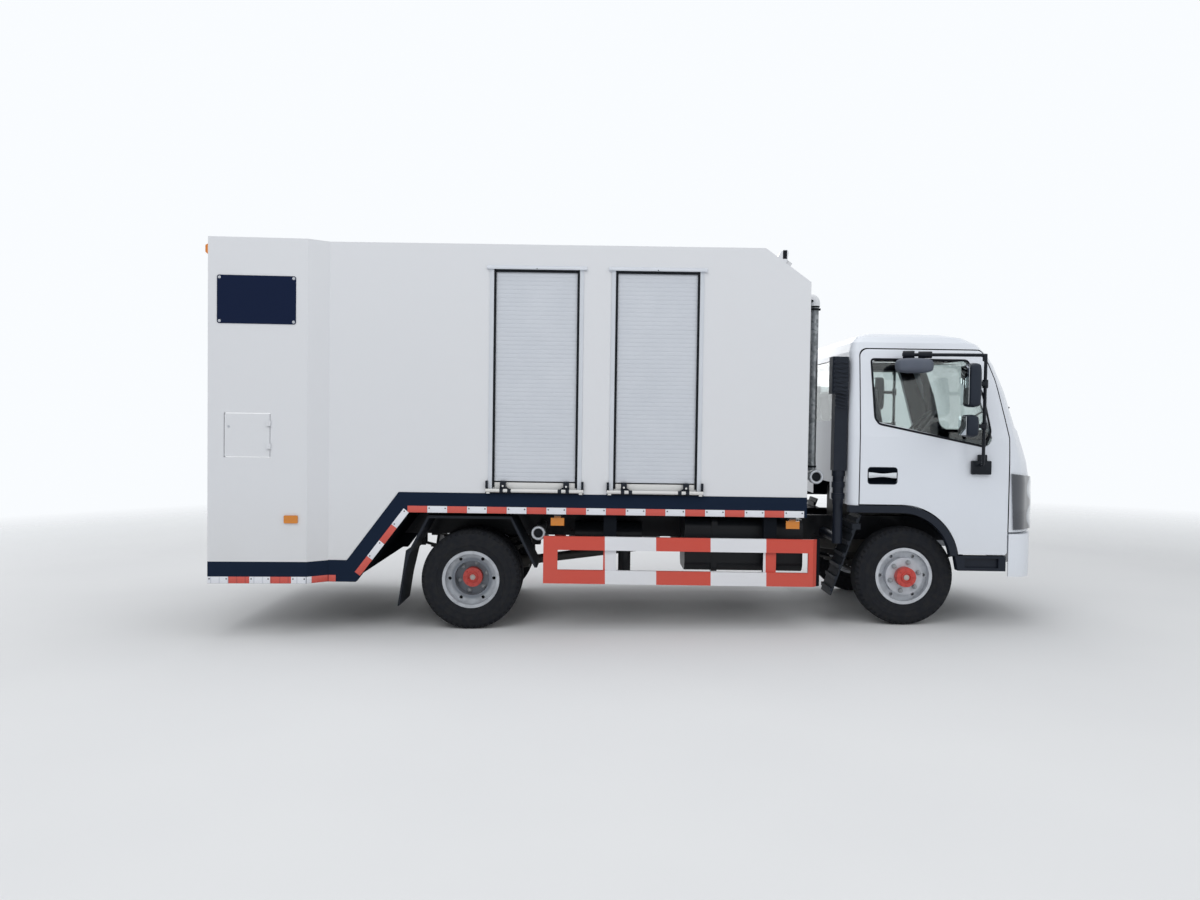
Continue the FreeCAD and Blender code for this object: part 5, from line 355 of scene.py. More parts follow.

# Pressed steel wheels, sprayed silver: six nuts on studs, and a red cast hub with its flange bolts.
# The rears are the same wheel turned round, so that their deep dish shows; their silver is darker,
# and the dark tone inside each dish is painted shade.
hub_colour, hub_dust, hub_radius = "#c4423a", "#7d302a", 0.0755


def wheel_paint(name, silver, dust, dish_shade, axle_x):
    """Silver rim, painted shade on the dish within it and a red hub, split by the distance from the axis."""
    material, place = finish(name, 0.38, 0.25, **{"Coat Weight": 0.2, "Coat Roughness": 0.15})
    centred = add(material, "Mapping",
                  {"Vector": place, "Location": (-axle_x, 0, -wheel_radius), "Scale": (1, 0, 1)})
    reach = add(material, "VectorMath", {0: centred}, operation="LENGTH", out="Value")
    outside = add(material, "Math", {0: reach, 1: hub_radius}, operation="GREATER_THAN")
    film = add(material, "TexNoise", {"Vector": place, "Scale": 18.0, "Detail": 6.0})
    soiled = add(material, "MapRange", {0: film, 1: 0.42, 2: 0.75, 3: 0.0, 4: 0.6})
    # Between 150 and 168 mm from the axis the silver gives way to the dish's darker tone, which is painted
    # shade.
    outside_dish_shade = add(material, "MapRange", {0: reach, 1: 0.150, 2: 0.168, 3: 0.0, 4: 1.0})
    paint = add(material, "Mix", {0: soiled, 6: add(material, "Mix", {0: outside_dish_shade, 6: dish_shade, 7: silver}, **blend),
                                  7: dust}, **blend)
    red = add(material, "Mix", {0: soiled, 6: hub_colour, 7: hub_dust}, **blend)
    wire(material, "Base Color", add(material, "Mix", {0: outside, 6: red, 7: paint}, **blend))
    grain = add(material, "TexNoise", {"Vector": place, "Scale": 1 / 0.005, "Detail": 1.0})
    wire(material, "Normal", add(material, "Bump", {"Strength": 0.12, "Distance": 0.0005, "Height": grain}))
    return material


front_wheel_silver = wheel_paint("front_wheel_silver_spray", "#c3c7cd", "#96989d", "#bcc0c7",
                                 wheelbase - rear_axle_x)
rear_wheel_silver = wheel_paint("rear_wheel_silver_spray", "#b4b8be", "#7b7e84", "#757b84", -rear_axle_x)
hub_red = enamel("red_hub_enamel", hub_colour, hub_dust, 0.4)
nut_steel = cast_steel("zinc_plated_nut_steel", "#a9acb0", "#7c7e81", 0.4)
cap_grey = cast_steel("bare_hub_cap_casting", "#c9c4c0", "#9a8f8a", 0.45)
dress(front_wheel_silver, "wheel_front_left", "wheel_front_right")
dress(rear_wheel_silver, "wheels_rear_left", "wheels_rear_right")
nut_count, nut_circle = 6, 0.111
cover_section = ((0.0746, -0.045), (0.0752, -0.006), (0.072, -0.0005), (0.047, 0.0), (0.045, -0.004),
                 (0.040, -0.004), (0.0385, 0.008), (0.033, 0.010), (0.0315, 0.006), (0.0315, -0.001),
                 (0.0745, -0.001))
lid_section = ((0.0001, 0.006), (0.014, 0.0055), (0.0165, 0.003), (0.0205, 0.003), (0.0215, -0.004),
               (0.0001, -0.004))
for axle_x, face_y, hub_y, side, body in ((wheelbase, 0.850, 0.910, -1, "right_front_wheel"),
                                          (wheelbase, 0.850, 0.910, 1, "left_front_wheel"),
                                          (0.0, 0.758, 0.818, -1, "right_rear_wheels"),
                                          (0.0, 0.758, 0.818, 1, "left_rear_wheels")):
    hub_x = axle_x - rear_axle_x
    nut = joined(body + "_nuts", [disc("washer", (0, 0.003, 0), (0, 1, 0), 0.0185, 0.006, 20, 0.001),
                                  disc("nut", (0, 0.015, 0), (0, 1, 0), 0.0165, 0.019, 6, 0.0015),
                                  disc("stud", (0, 0.024, 0), (0, 1, 0), 0.0085, 0.018, 12, 0.001)])
    settle(nut, Matrix.Scale(side, 4, (0, 1, 0)))
    turns = [tau * (step + 0.25) / nut_count for step in range(nut_count)]
    nuts = copied(nut, [(hub_x + nut_circle * cos(turn), side * face_y, wheel_radius + nut_circle * sin(turn))
                        for turn in turns])
    fitted(nuts, nut_steel, body)
    cover = turned(body + "_hub_cover", [(0.0, y, r) for r, y in cover_section], 48)
    flange_bolt = disc("flange_bolt", (0.060, 0.003, 0), (0, 1, 0), 0.0055, 0.008, 6, 0.0008)
    flange_bolts = copied(flange_bolt, [Matrix.Rotation(tau * step / 8, 4, "Y") for step in range(8)])
    cover = joined(body + "_hub_cover", [cover, flange_bolts])
    lid = turned(body + "_hub_lid", [(0.0, y, r) for r, y in lid_section], 32)
    for piece, material in ((cover, hub_red), (lid, cap_grey)):
        settle(piece, Matrix.Translation((hub_x, side * (hub_y + 0.0005), wheel_radius))
               @ Matrix.Scale(side, 4, (0, 1, 0)))
        fitted(outwards(piece), material, body)

# Tanks and boxes on the frame: a black fuel tank on strapped brackets, the battery box, silencer and pipes.
# The tank is powder-coated steel, the silencer hot-dipped zinc that has gone dull and mottled.
def zinc(name, light, dark, spangle):
    """Hot-dipped zinc: crystals a few centimetres across, each turned a little from the next."""
    material, place = finish(name, 0.45, 0.8)
    crystal = add(material, "TexVoronoi", {"Vector": place, "Scale": 1 / spangle}, out="Color")
    tone = add(material, "SeparateColor", {0: crystal})
    wire(material, "Base Color", add(material, "Mix", {0: tone, 6: light, 7: dark}, **blend))
    wire(material, "Roughness", add(material, "MapRange", {0: tone, 3: 0.38, 4: 0.58}))
    return material


def moulded(name, colour, dust, roughness, grain=0.0025):
    """Injection-moulded plastic with a spark-eroded grain, drawn at 2.5 mm, as a real one is too fine to
    show."""
    material, place = finish(name, roughness, **{"Specular IOR Level": 0.25})
    film = add(material, "TexNoise", {"Vector": place, "Scale": 9.0, "Detail": 6.0})
    dusty = add(material, "MapRange", {0: film, 1: 0.4, 2: 0.8, 3: 0.0, 4: 0.2})
    wire(material, "Base Color", add(material, "Mix", {0: dusty, 6: colour, 7: dust}, **blend))
    pits = add(material, "TexNoise", {"Vector": place, "Scale": 1 / grain, "Detail": 1.0})
    wire(material, "Normal", add(material, "Bump", {"Strength": 0.15, "Distance": 0.0004, "Height": pits}))
    return material


zinc_coat = zinc("hot_dipped_zinc", "#9ea2a5", "#75797c", 0.022)
matt_black = "#1a1d22"
tank_coat = enamel("black_powder_coat", matt_black, dark_dust, 0.38, shine=0.15)
grained_black = moulded("grained_black_polypropylene", "#191e26", "#2f3236", 0.55)
dress(zinc_coat, "exhaust")
dress(tank_coat, "fuel_tank", "air_tank")
dress(grained_black, "battery_box", "mudguards")
cap = joined("fuel_cap", [disc("neck", (2.36, -0.80, 0.812), (0, 0, 1), 0.034, 0.03, 32, 0.002),
                          disc("lid", (2.36, -0.80, 0.833), (0, 0, 1), 0.042, 0.02, 12, 0.004)])
fitted(settle(cap, nose_down), grained_black, "chassis")

# The box body: folded steel sheet on a welded frame, seams ground flush and sprayed gloss white.
# The side reads as one clean pale sheet with a hint of ripple; the navy sill rail below it is bolted on.
level = nose_down.inverted()
coach_white, navy, road_dust = "#d9dbdf", "#1e2839", "#b7b2a6"


def level_place(material, place):
    """Where a point is on a level truck, as three numbers."""
    straight = add(material, "Mapping",
                   {"Vector": place, "Location": level.translation, "Rotation": level.to_euler()})
    return add(material, "SeparateXYZ", {0: straight}, out=None)


def dark_below(material, colour):
    """A colour with black on every face that looks down: painted shade, and on the body also its underseal.
    """
    normal = add(material, "TexCoord", out="Normal")
    tilt = add(material, "SeparateXYZ", {0: normal}, out=2)
    below = add(material, "Math", {0: tilt, 1: -0.3}, operation="LESS_THAN")
    return add(material, "Mix", {0: below, 6: colour, 7: matt_black}, **blend)


def white_with_black_below(material, place):
    """White outside; black below, which is underseal and painted shade."""
    return dark_below(material, coach_white)


def sideways(material, place):
    """How far a face looks away from the middle of the truck: below nought on its inner side."""
    normal = add(material, "TexCoord", out="Normal")
    side = add(material, "VectorMath", {0: place, 1: (0, 1, 0)}, operation="MULTIPLY")
    return add(material, "VectorMath", {0: normal, 1: side}, operation="DOT_PRODUCT", out="Value")


def navy_with_black_within(material, place):
    """Navy outside; black below and on the back of the rail, which is underseal and painted shade."""
    inside = add(material, "Math", {0: sideways(material, place), 1: -0.5}, operation="LESS_THAN")
    return add(material, "Mix", {0: inside, 6: dark_below(material, navy), 7: "#14171b"}, **blend)


body_white = enamel("gloss_white_body_enamel", white_with_black_below, road_dust, 0.3, 0.3, 1.1)
sill_navy = enamel("gloss_navy_enamel", navy_with_black_within, "#5c584f", 0.3, 0.2, 1.2, shine=0.2)


def navy_below(material, place):
    """Navy below the paint's masking line, 470 mm up on a level truck, and white above it."""
    above = add(material, "Math", {0: level_place(material, place)[2], 1: 0.468}, operation="GREATER_THAN")
    return dark_below(material, add(material, "Mix", {0: above, 6: navy, 7: coach_white}, **blend))


housing_white = enamel("two_tone_body_enamel", navy_below, road_dust, 0.3, 0.3, 1.1)
dress(body_white, "box_shell", "side_hatch")
dress(sill_navy, "body_sill")
dress(housing_white, "rear_housing")

# Rows of red and white tape along the lower edge, each length 150 mm by 50 mm and pressed on flat.
# The film has tiny moulded prisms that throw light back, so it looks a little brighter than the paint.
def prism_tape(name, colour, deep):
    """Retroreflective film: cells 4 mm across under a clear, hard face."""
    material, place = finish(name, 0.28, **{"Coat Weight": 0.6, "Coat Roughness": 0.05})
    cell = add(material, "TexVoronoi", {"Vector": place, "Scale": 1 / 0.004, "Randomness": 0.0},
               feature="DISTANCE_TO_EDGE", out="Distance")
    wall = add(material, "MapRange", {0: cell, 1: 0.0, 2: 0.12, 3: 1.0, 4: 0.0})
    wire(material, "Base Color", add(material, "Mix", {0: wall, 6: colour, 7: deep}, **blend))
    return material


tape_red = prism_tape("red_prismatic_film", "#cf4b3c", "#a53a30")
tape_white = prism_tape("white_prismatic_film", "#e6e8ee", "#c3c7d0")
rivet_grey = cast_steel("blackened_rivet_steel", "#5a5d62", "#3c3f44", 0.4)
tail_side = Matrix.Translation((-1.887, -1.206, 0)) @ Matrix.Rotation(0.06479, 4, "Z")
bevel_side = Matrix.Translation((-1.178, -1.160, 0)) @ Matrix.Rotation(0.69843, 4, "Z")
box_side = Matrix.Translation((0, -1.054, 0))
slope_side = Matrix.Translation((-0.809, -1.054, 0.353)) @ Matrix.Rotation(-0.9261, 4, "Y")
strips = [(tail_side, 0.15 * step, 0.15 * step + 0.15, 0.309, step % 2 == 0) for step in range(4)]
strips += [(tail_side, 0.6, 0.7095, 0.309, True), (bevel_side, 0.001, 0.04, 0.309, True),
           (bevel_side, 0.04, 0.169, 0.309, False), (box_side, -1.044, -0.990, 0.309, False)]
strips += [(slope_side, 0.15 * step, 0.15 * step + 0.15, 0.001, step % 2 == 1) for step in range(4)]
strips += [(box_side, 0.1475 * step - 0.4605, 0.1475 * step - 0.313, 0.834, step % 2 == 1)
           for step in range(20)]


def block(name, low, high, edge=0.0):
    """A plate, bar or block between two corners, with its edges eased."""
    low, high = Vector(low), Vector(high)
    bpy.ops.mesh.primitive_cube_add(size=1, location=(low + high) / 2)
    piece = bpy.context.object
    piece.name, piece.scale = name, high - low
    settle(piece)
    if edge:
        smooth(modified(piece, "BEVEL", width=edge, segments=2, limit_method="NONE"))
    return piece


lengths = {True: [], False: []}
rivets = []
for side, start, end, low, white in strips:
    length = block("tape_length", (start + 0.0004, -0.0016, low), (end - 0.0004, 0.0, low + 0.049), 0.0004)
    lengths[white].append(settle(length, nose_down @ side))
    if white and end - start > 0.1:
        for along in (start + 0.014, end - 0.014):
            head = disc("rivet", (along, -0.0024, low + 0.033), (0, 1, 0), 0.0055, 0.0032, 14, 0.001)
            rivets.append(settle(head, nose_down @ side))
for piece, material in ((joined("tape_white_right", lengths[True]), tape_white),
                        (joined("tape_red_right", lengths[False]), tape_red),
                        (joined("tape_rivets_right", rivets), rivet_grey)):
    on_both_sides(piece, material, "chassis")

# The dark panel high on the rear housing: a thin navy plate held by a steel screw in each corner.
# The screws are bright domed heads on plain washers, a little inside the rounded corners.
panel_navy = enamel("satin_navy_panel_paint", "#17213a", "#2b3146", 0.5, shine=0.04)
dress(panel_navy, "side_panels")
bright_steel = zinc("bright_zinc_plate", "#c9ccd1", "#aeb2b8", 0.004)
screw = joined("panel_screws_right", [disc("washer", (0, -0.0048, 0), (0, 1, 0), 0.0105, 0.0016, 20),
                                      disc("head", (0, -0.0070, 0), (0, 1, 0), 0.0065, 0.004, 20, 0.0016)])
screws = copied(screw, [nose_down @ tail_side @ Matrix.Translation((along, 0, up)) for along in (0.083, 0.611)
                        for up in (2.219, 2.534)])
on_both_sides(screws, bright_steel, "chassis")

# The side hatch: a flush steel door on a hidden hinge, with a small key lock at its rear edge.
# The lock is a zinc barrel with a slot, pressed into the sheet.
lock = joined("hatch_lock_right",
              [disc("barrel", (0.149, -0.0018, 1.456), (0, 1, 0), 0.0085, 0.0036, 24, 0.001),
               block("slot", (0.1478, -0.0042, 1.451), (0.1502, -0.0034, 1.461))])
fitted(settle(lock, nose_down @ tail_side), bright_steel, "hatch")

# Four roller shutters: hooked aluminium slats in guide channels, a drum box above and a latched rail below.
# Anodised metal gives a soft silver with fine brushing along each slat and a thin shadow at every joint.
def anodised(name, colour, dark, metallic, roughness, along):
    """Brushed and anodised aluminium: hair lines drawn 1 mm apart, because real ones are too fine to show."""
    material, place = finish(name, roughness, metallic)
    stretched = add(material, "Mapping", {"Vector": place, "Scale": along})
    hair = add(material, "TexNoise", {"Vector": stretched, "Scale": 1 / 0.001, "Detail": 2.0})
    film = add(material, "TexNoise", {"Vector": place, "Scale": 5.0, "Detail": 5.0})
    wire(material, "Base Color", add(material, "Mix", {0: film, 6: colour, 7: dark}, **blend))
    wire(material, "Roughness",
         add(material, "MapRange", {0: hair, 3: roughness - 0.08, 4: roughness + 0.12}))
    wire(material, "Normal", add(material, "Bump", {"Strength": 0.2, "Distance": 0.0003, "Height": hair}))
    return material


slat_silver = anodised("anodised_slat_aluminium", "#ced2d9", "#c3c8d0", 0.1, 0.45, (0.02, 1, 1))
guide_silver = anodised("anodised_guide_aluminium", "#d3d7dd", "#c3c8d0", 0.25, 0.38, (1, 1, 0.02))
seal_black = rubber("extruded_seal_rubber", "#14171c", "#2a2c30")
dress(guide_silver, "shutter_frames")
rail_silver = anodised("anodised_rail_aluminium", "#dddcd9", "#cfd0d0", 0.1, 0.35, (0.02, 1, 1))
latch_black = enamel("black_latch_powder_coat", "#1a1f28", "#3d4148", 0.45, shine=0.15)


def plate(name, outline, push):
    """A plate: its outline drawn, filled and pushed through its thickness."""
    piece = drawn(name, outline)
    bpy.ops.mesh.edge_face_add()
    bpy.ops.mesh.extrude_region_move(TRANSFORM_OT_translate={"value": push})
    return outwards(piece)


latch_shares = (0.13, 0.87)
shutter_top, shutter_low, slat_rows = 2.652, 1.076, 50
slat_pitch = (shutter_top - shutter_low) / slat_rows
for place, centre, width in (("rear", 0.482, 0.634), ("front", 1.376, 0.624)):
    left, right = centre - width / 2, centre + width / 2
    hook = [(-0.0100, 0.0), (-0.0107, 0.0030), (-0.0110, 0.010), (-0.0110, 0.021), (-0.0107, 0.0275),
            (-0.0101, 0.0306), (-0.0092, 0.0308), (-0.0092, slat_pitch), (-0.0040, slat_pitch),
            (-0.0040, 0.0)]
    slat = plate("slats_right_" + place,
                 [(left + 0.004, -1.032 + across, shutter_low + up) for across, up in hook],
                 (width - 0.008, 0, 0))
    modified(slat, "ARRAY", count=slat_rows, use_relative_offset=False, use_constant_offset=True,
             constant_offset_displace=(0, 0, slat_pitch))
    curtain = smooth(settle(slat, nose_down), 30)
    seals_and_shade_strips = [block("seal", (edge - 0.017 if edge < centre else edge, -1.0575, 1.03),
                   (edge if edge < centre else edge + 0.017, -1.049, 2.664), 0.002)
             for edge in (left + 0.018, right - 0.018)]
    # A black strip across the top, under the drum box, is painted shade in the recess there.
    seals_and_shade_strips.append(block("seal", (left, -1.0575, 2.621), (right, -1.0488, 2.641), 0.002))
    seals_and_shade_strips.append(disc("header_screw", (centre, -1.0748, 2.6467), (0, 1, 0), 0.0038, 0.003, 12, 0.0008))
    # A black strip behind the round bar, down to the sill, is painted shade under the bar.
    seals_and_shade_strips.append(block("sill_shade_strip", (left - 0.046, -1.0700, 0.985), (right + 0.046, -1.0684, 1.0072)))
    seals_and_shade_strips = settle(joined("guide_seals_right_" + place, seals_and_shade_strips), nose_down)
    keeper = []
    for edge in (left - 0.038, right + 0.038):
        keeper.append(block("keeper", (edge - 0.009, -1.080, 1.026), (edge + 0.009, -1.0505, 1.078), 0.002))
        keeper.append(block("keeper_slot", (edge - 0.003, -1.0812, 1.034), (edge + 0.003, -1.0798, 1.060),
                            0.0004))
        keeper.append(block("keeper_foot", (edge - 0.010, -1.0675, 0.988), (edge + 0.010, -1.0505, 1.027),
                            0.002))
    keeper = settle(joined("rail_keepers_right_" + place, keeper), nose_down)
    latches = []
    for share, lean in zip(latch_shares, (1, -1)):
        at = left + share * width
        latches.append(block("latch", (at - 0.0215, -1.078, 1.022), (at + 0.0215, -1.0485, 1.078), 0.003))
        sole = ((-0.0235, 1.036), (-0.0235, 0.993), (0.080, 0.993), (0.080, 1.000), (0.0225, 1.036))
        latches.append(settle(plate("foot", [(at + lean * along, -1.0685, up) for along, up in sole],
                                    (0, 0.008, 0))))
        for near, far in ((-0.0235, 0.004), (0.034, 0.062)):
            ends = sorted((at + lean * near, at + lean * far))
            latches.append(block("clamp", (ends[0], -1.0975, 0.992), (ends[1], -1.0680, 1.0215), 0.004))
    latches = settle(joined("latch_feet_right_" + place, latches), nose_down)
    buttons = [disc("button", (left + share * width, -1.0788, 1.041), (0, 1, 0), 0.0075, 0.003, 20, 0.001)
               for share in latch_shares]
    rail = [block("rail", (left + 0.006, -1.048, 1.0142), (right - 0.006, -1.034, 1.0660), 0.002),
            disc("bar", (centre, -1.083, 1.007), (1, 0, 0), 0.013, width + 0.092, 32, 0.002)]
    rail += [block("bar_tab", (edge - 0.013, -1.088, 0.984), (edge + 0.013, -1.079, 0.996), 0.001)
             for edge in (left - 0.026, right + 0.026)]
    rail = settle(joined("rail_bar_right_" + place, rail + buttons), nose_down)
    for piece, material, body, slot in ((curtain, slat_silver, "chassis", "shutter_grey"),
                                        (seals_and_shade_strips, seal_black, "chassis", "black_rubber"),
                                        (keeper, latch_black, "chassis", "black_plastic"),
                                        (latches, latch_black, "right_%s_shutter" % place, "black_plastic"),
                                        (rail, rail_silver, "right_%s_shutter" % place, "shutter_grey")):
        for hung, hand in zip(on_both_sides(piece, material, body), ("right", "left")):
            if piece is curtain:
                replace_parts(hung, "curtain_%s_%s" % (hand, place))
                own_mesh(hung)
            if piece is rail:
                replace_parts(hung, "shutter_rail_%s_%s" % (hand, place))

# Side guards: welded rectangular tube, sprayed red and white in turn so that other road users see them.
# The masked edges between the colours are crisp; the paint is a little dusty low down.
def red_and_white(material, place):
    """Colour changes along the guard at the masking lines."""
    along = add(material, "SeparateXYZ", {0: place})
    share = None
    for edge in (1.013, 1.396, 1.803, 2.219):
        past = add(material, "Math", {0: along, 1: edge - rear_axle_x + 0.002}, operation="GREATER_THAN")
        share = past if share is None else add(material, "Math", {0: past, 1: share}, operation="SUBTRACT")
    white = add(material, "Math", {0: share}, operation="ABSOLUTE")
    across = add(material, "SeparateXYZ", {0: place}, out=1)
    inner = add(material, "Math", {0: add(material, "Math", {0: across}, operation="ABSOLUTE"), 1: 1.0035},
                operation="LESS_THAN")
    high = add(material, "Math", {0: level_place(material, place)[2], 1: 0.6685}, operation="GREATER_THAN")
    bracket = add(material, "Math", {0: inner, 1: high}, operation="MAXIMUM")
    return add(material, "Mix",
               {0: bracket, 6: add(material, "Mix", {0: white, 6: "#cb4c3e", 7: "#e2e4e9"}, **blend),
                7: matt_black}, **blend)


guard_paint = enamel("red_and_white_guard_enamel", red_and_white, "#9a8f86", 0.34, 0.1, 0.9)
dress(guard_paint, "side_guards")

# Lamps: amber side markers, red tail lamps and small work lamps, each a moulded lens.
# The lens has ribs a few millimetres apart inside, so it glows with fine stripes.
# How far apart a wave texture's bands lie at a scale of 1, in metres.
wave_spacing = 0.314


def acrylic(name, deep, rib, painted):
    """Moulded acrylic with ribs on its inner face, its colour painted as a socket."""
    material, place = finish(name, 0.16, **{"Coat Weight": 0.5, "Coat Roughness": 0.03,
                                            "Specular IOR Level": 0.4})
    ribs = add(material, "TexWave", {"Vector": place, "Scale": wave_spacing / rib, "Distortion": 0.0},
               bands_direction="X", out="Fac")
    groove = add(material, "MapRange", {0: ribs, 3: 0.0, 4: 0.22})
    wire(material, "Base Color", add(material, "Mix", {0: groove, 6: painted(material, place), 7: deep},
                                     **blend))
    wire(material, "Normal", add(material, "Bump", {"Strength": 0.3, "Distance": 0.0008, "Height": ribs}))
    return material


def lamp_colours(material, place):
    """Red at the tail, clear up at the roof, amber along the sides."""
    split = add(material, "SeparateXYZ", {0: place}, out=None)
    tail = add(material, "Math", {0: split[0], 1: -3.05}, operation="LESS_THAN")
    high = add(material, "Math", {0: split[2], 1: 2.2}, operation="GREATER_THAN")
    height = level_place(material, place)[2]
    strap = add(material, "Math", {0: height, 1: 0.8135}, operation="GREATER_THAN")
    side = add(material, "Mix", {0: strap, 6: "#d98420", 7: matt_black}, **blend)
    row = add(material, "Math", {0: height, 1: 0.768}, operation="GREATER_THAN")
    upper = add(material, "Math", {0: height, 1: 0.664}, operation="GREATER_THAN")
    rear = add(material, "Mix",
               {0: row, 6: add(material, "Mix", {0: upper, 6: "#e8e9ea", 7: "#ef8f22"}, **blend),
                7: "#c5271f"}, **blend)
    top = add(material, "Mix", {0: tail, 6: coach_white, 7: "#e98a24"}, **blend)
    return add(material, "Mix", {0: high, 6: add(material, "Mix", {0: tail, 6: side, 7: rear}, **blend),
                                 7: top}, **blend)


dress(acrylic("amber_and_red_lamp_acrylic", "#4a2410", 0.006, lamp_colours), "body_lamps")

# A small white housing stands on the roof chamfer over each roof lamp, open to the side with a dark glass.
# It is folded from sheet and sprayed with the body.
hood = plate("roof_lamp_hood_right", [(2.262, -0.955, 2.750), (2.296, -0.955, 2.818), (2.318, -0.955, 2.834),
                                      (2.346, -0.955, 2.834), (2.357, -0.955, 2.812), (2.350, -0.955, 2.772),
                                      (2.334, -0.955, 2.7005)], (0, 0.110, 0))
hood = smooth(settle(modified(hood, "BEVEL", width=0.005, segments=2, limit_method="ANGLE"), nose_down))
pane = settle(block("roof_lamp_pane_right", (2.312, -0.9575, 2.764), (2.343, -0.9545, 2.828), 0.0012),
              nose_down)
for piece, material, slot in ((hood, body_white, "white_paint"), (pane, seal_black, "black_rubber")):
    on_both_sides(piece, material, "chassis")

# Washing plant: polyethylene water tank, painted pump set, galvanised pipework and two cam-lever couplings.
# Rotomoulded plastic is milky and uneven; the pump is sprayed machine blue.
tank_plastic = moulded("milky_rotomoulded_polyethylene", "#c9ced0", "#a9adab", 0.5, 0.004)
pump_blue = enamel("machine_blue_enamel", "#2a5a93", "#4d5a66", 0.38)
dress(tank_plastic, "water_tank")
dress(pump_blue, "wash_pump")
couplings = ((0.510, 0.683), (2.592, 1.136))
pipe_x, pipe_sides = 2.604, (-0.620, -0.760)
runs = [disc("riser", (pipe_x, side, 1.788), (0, 0, 1), 0.027, 1.304, 32) for side in pipe_sides]
for (along, up), back in zip(couplings, (-0.3753, -0.6200)):
    section = ((-0.920, 0.0), (-0.920, 0.033), (-0.978, 0.033), (-0.980, 0.035), (-0.980, 0.052),
               (-0.978, 0.054), (-0.922, 0.054), (-0.920, 0.052), (-0.920, 0.039), (back + 0.002, 0.039),
               (back, 0.037), (back, 0.0))
    run = turned("run", [(0, across, radius) for across, radius in section], 40, closed=False)
    runs.append(settle(run, Matrix.Translation((along, 0, up))))
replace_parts(fitted(settle(joined("pipe_runs", runs), nose_down), zinc_coat, "chassis"),
            "pipework")
elbows = [rod("elbow", [(pipe_x, side, 2.437), (pipe_x, side, 2.494), (2.5115, side, 2.494)], 0.036, 0.034,
              24, 6) for side in pipe_sides]
fitted(settle(joined("pipe_elbows", elbows), nose_down), body_white, "chassis")
bands = []
for side in pipe_sides:
    bands += [disc("band", (pipe_x, side, up), (0, 0, 1), 0.0330, 0.016, 32, 0.002)
              for up in (2.412, 2.434, 1.204)]
    bands.append(block("worm_screw", (pipe_x + 0.028, side - 0.012, 2.404),
                       (pipe_x + 0.040, side + 0.012, 2.420), 0.002))
fitted(settle(joined("pipe_clamps", bands), nose_down), seal_black, "chassis")
# A black disc a little inside each coupling's bore: painted shade in the pipe.
bore_shade_discs = [disc("bore_shade_disc", (along, -0.9720, up), (0, 1, 0), 0.0324, 0.002, 40) for along, up in couplings]
fitted(settle(joined("coupling_bore_painted_shade", bore_shade_discs), nose_down), seal_black, "chassis")
lips = []
lip_section = ((0.0, 0.0360), (-0.004, 0.0375), (-0.006, 0.0435), (-0.004, 0.0495), (0.0, 0.0510))
for along, up in couplings:
    lip = turned("lip", [(0, across - 0.9804, radius) for across, radius in lip_section], 48)
    lips.append(settle(lip, Matrix.Translation((along, 0, up))))
fitted(settle(joined("coupling_lips", lips), nose_down), bright_steel, "chassis")

# The cab: pressed panels welded and dipped, sprayed a cool gloss white outside and lined with dark trim.
# The doors hang in 9 mm gaps; a face that looks towards the middle of the cab is the lining, not the paint.
cab_colour, lining = "#dbe0e8", "#10151f"


def lined_cab(material, place):
    """White outside, dark lining inside, told apart by whether a face looks away from the cab's middle.
    Behind the grille's bars the shell is near black: painted shade in the opening.
    """
    normal = add(material, "TexCoord", out="Normal")
    out = add(material, "VectorMath", {0: place, 1: (2.36, 0.0, 1.42)}, operation="SUBTRACT")
    facing = add(material, "VectorMath", {0: normal, 1: out}, operation="DOT_PRODUCT", out="Value")
    outside = add(material, "Math", {0: facing, 1: -0.02}, operation="GREATER_THAN")
    spot = level_place(material, place)
    rise = add(material, "Math", {0: spot[2], 1: 0.970}, operation="SUBTRACT")
    shade_behind_bars = add(material, "Math", {0: spot[0], 1: 4.1}, operation="GREATER_THAN")
    for number, most in ((add(material, "Math", {0: spot[1]}, operation="ABSOLUTE"), 0.556),
                         (add(material, "Math", {0: rise}, operation="ABSOLUTE"), 0.204)):
        within = add(material, "Math", {0: number, 1: most}, operation="LESS_THAN")
        shade_behind_bars = add(material, "Math", {0: shade_behind_bars, 1: within}, operation="MULTIPLY")
    return add(material, "Mix",
               {0: shade_behind_bars, 6: add(material, "Mix", {0: outside, 6: lining, 7: cab_colour}, **blend),
                7: "#11151b"}, **blend)


def lined_door(material, place):
    """White outside and along the edges, dark lining on the inner face."""
    outside = add(material, "Math", {0: sideways(material, place), 1: -0.5}, operation="GREATER_THAN")
    spot = level_place(material, place)
    reaches = [add(material, "MapRange", {0: spot[axis], 1: at, 2: at + half, 3: 0.0, 4: 1.0}, clamp=False)
               for axis, at, half in ((0, 3.099, 0.112), (2, 1.1495, 0.0645))]
    powers = [add(material, "Math", {0: add(material, "Math", {0: reach}, operation="ABSOLUTE"), 1: 6.0},
                  operation="POWER") for reach in reaches]
    total = add(material, "Math", {0: powers[0], 1: powers[1]}, operation="ADD")
    pocket = add(material, "Math", {0: total, 1: 1.0}, operation="LESS_THAN")
    return add(material, "Mix",
               {0: pocket, 6: add(material, "Mix", {0: outside, 6: lining, 7: cab_colour}, **blend),
                7: "#0c1016"}, **blend)


cab_white = enamel("gloss_white_cab_enamel", lined_cab, road_dust, 0.24, 0.2, 0.9)
door_white = enamel("gloss_white_door_enamel", lined_door, road_dust, 0.24, 0.2, 0.9)
bumper_white = enamel("white_bumper_enamel", "#dfe4ec", road_dust, 0.28, 0.2, 0.8)
dress(cab_white, "cab_shell")
dress(door_white, "door_left", "door_right")
dress(bumper_white, "front_bumper")
trim_black = moulded("smooth_black_trim_plastic", "#171d28", "#2b2f36", 0.42)
dress(trim_black, "cab_trim", "grille", "air_intake")

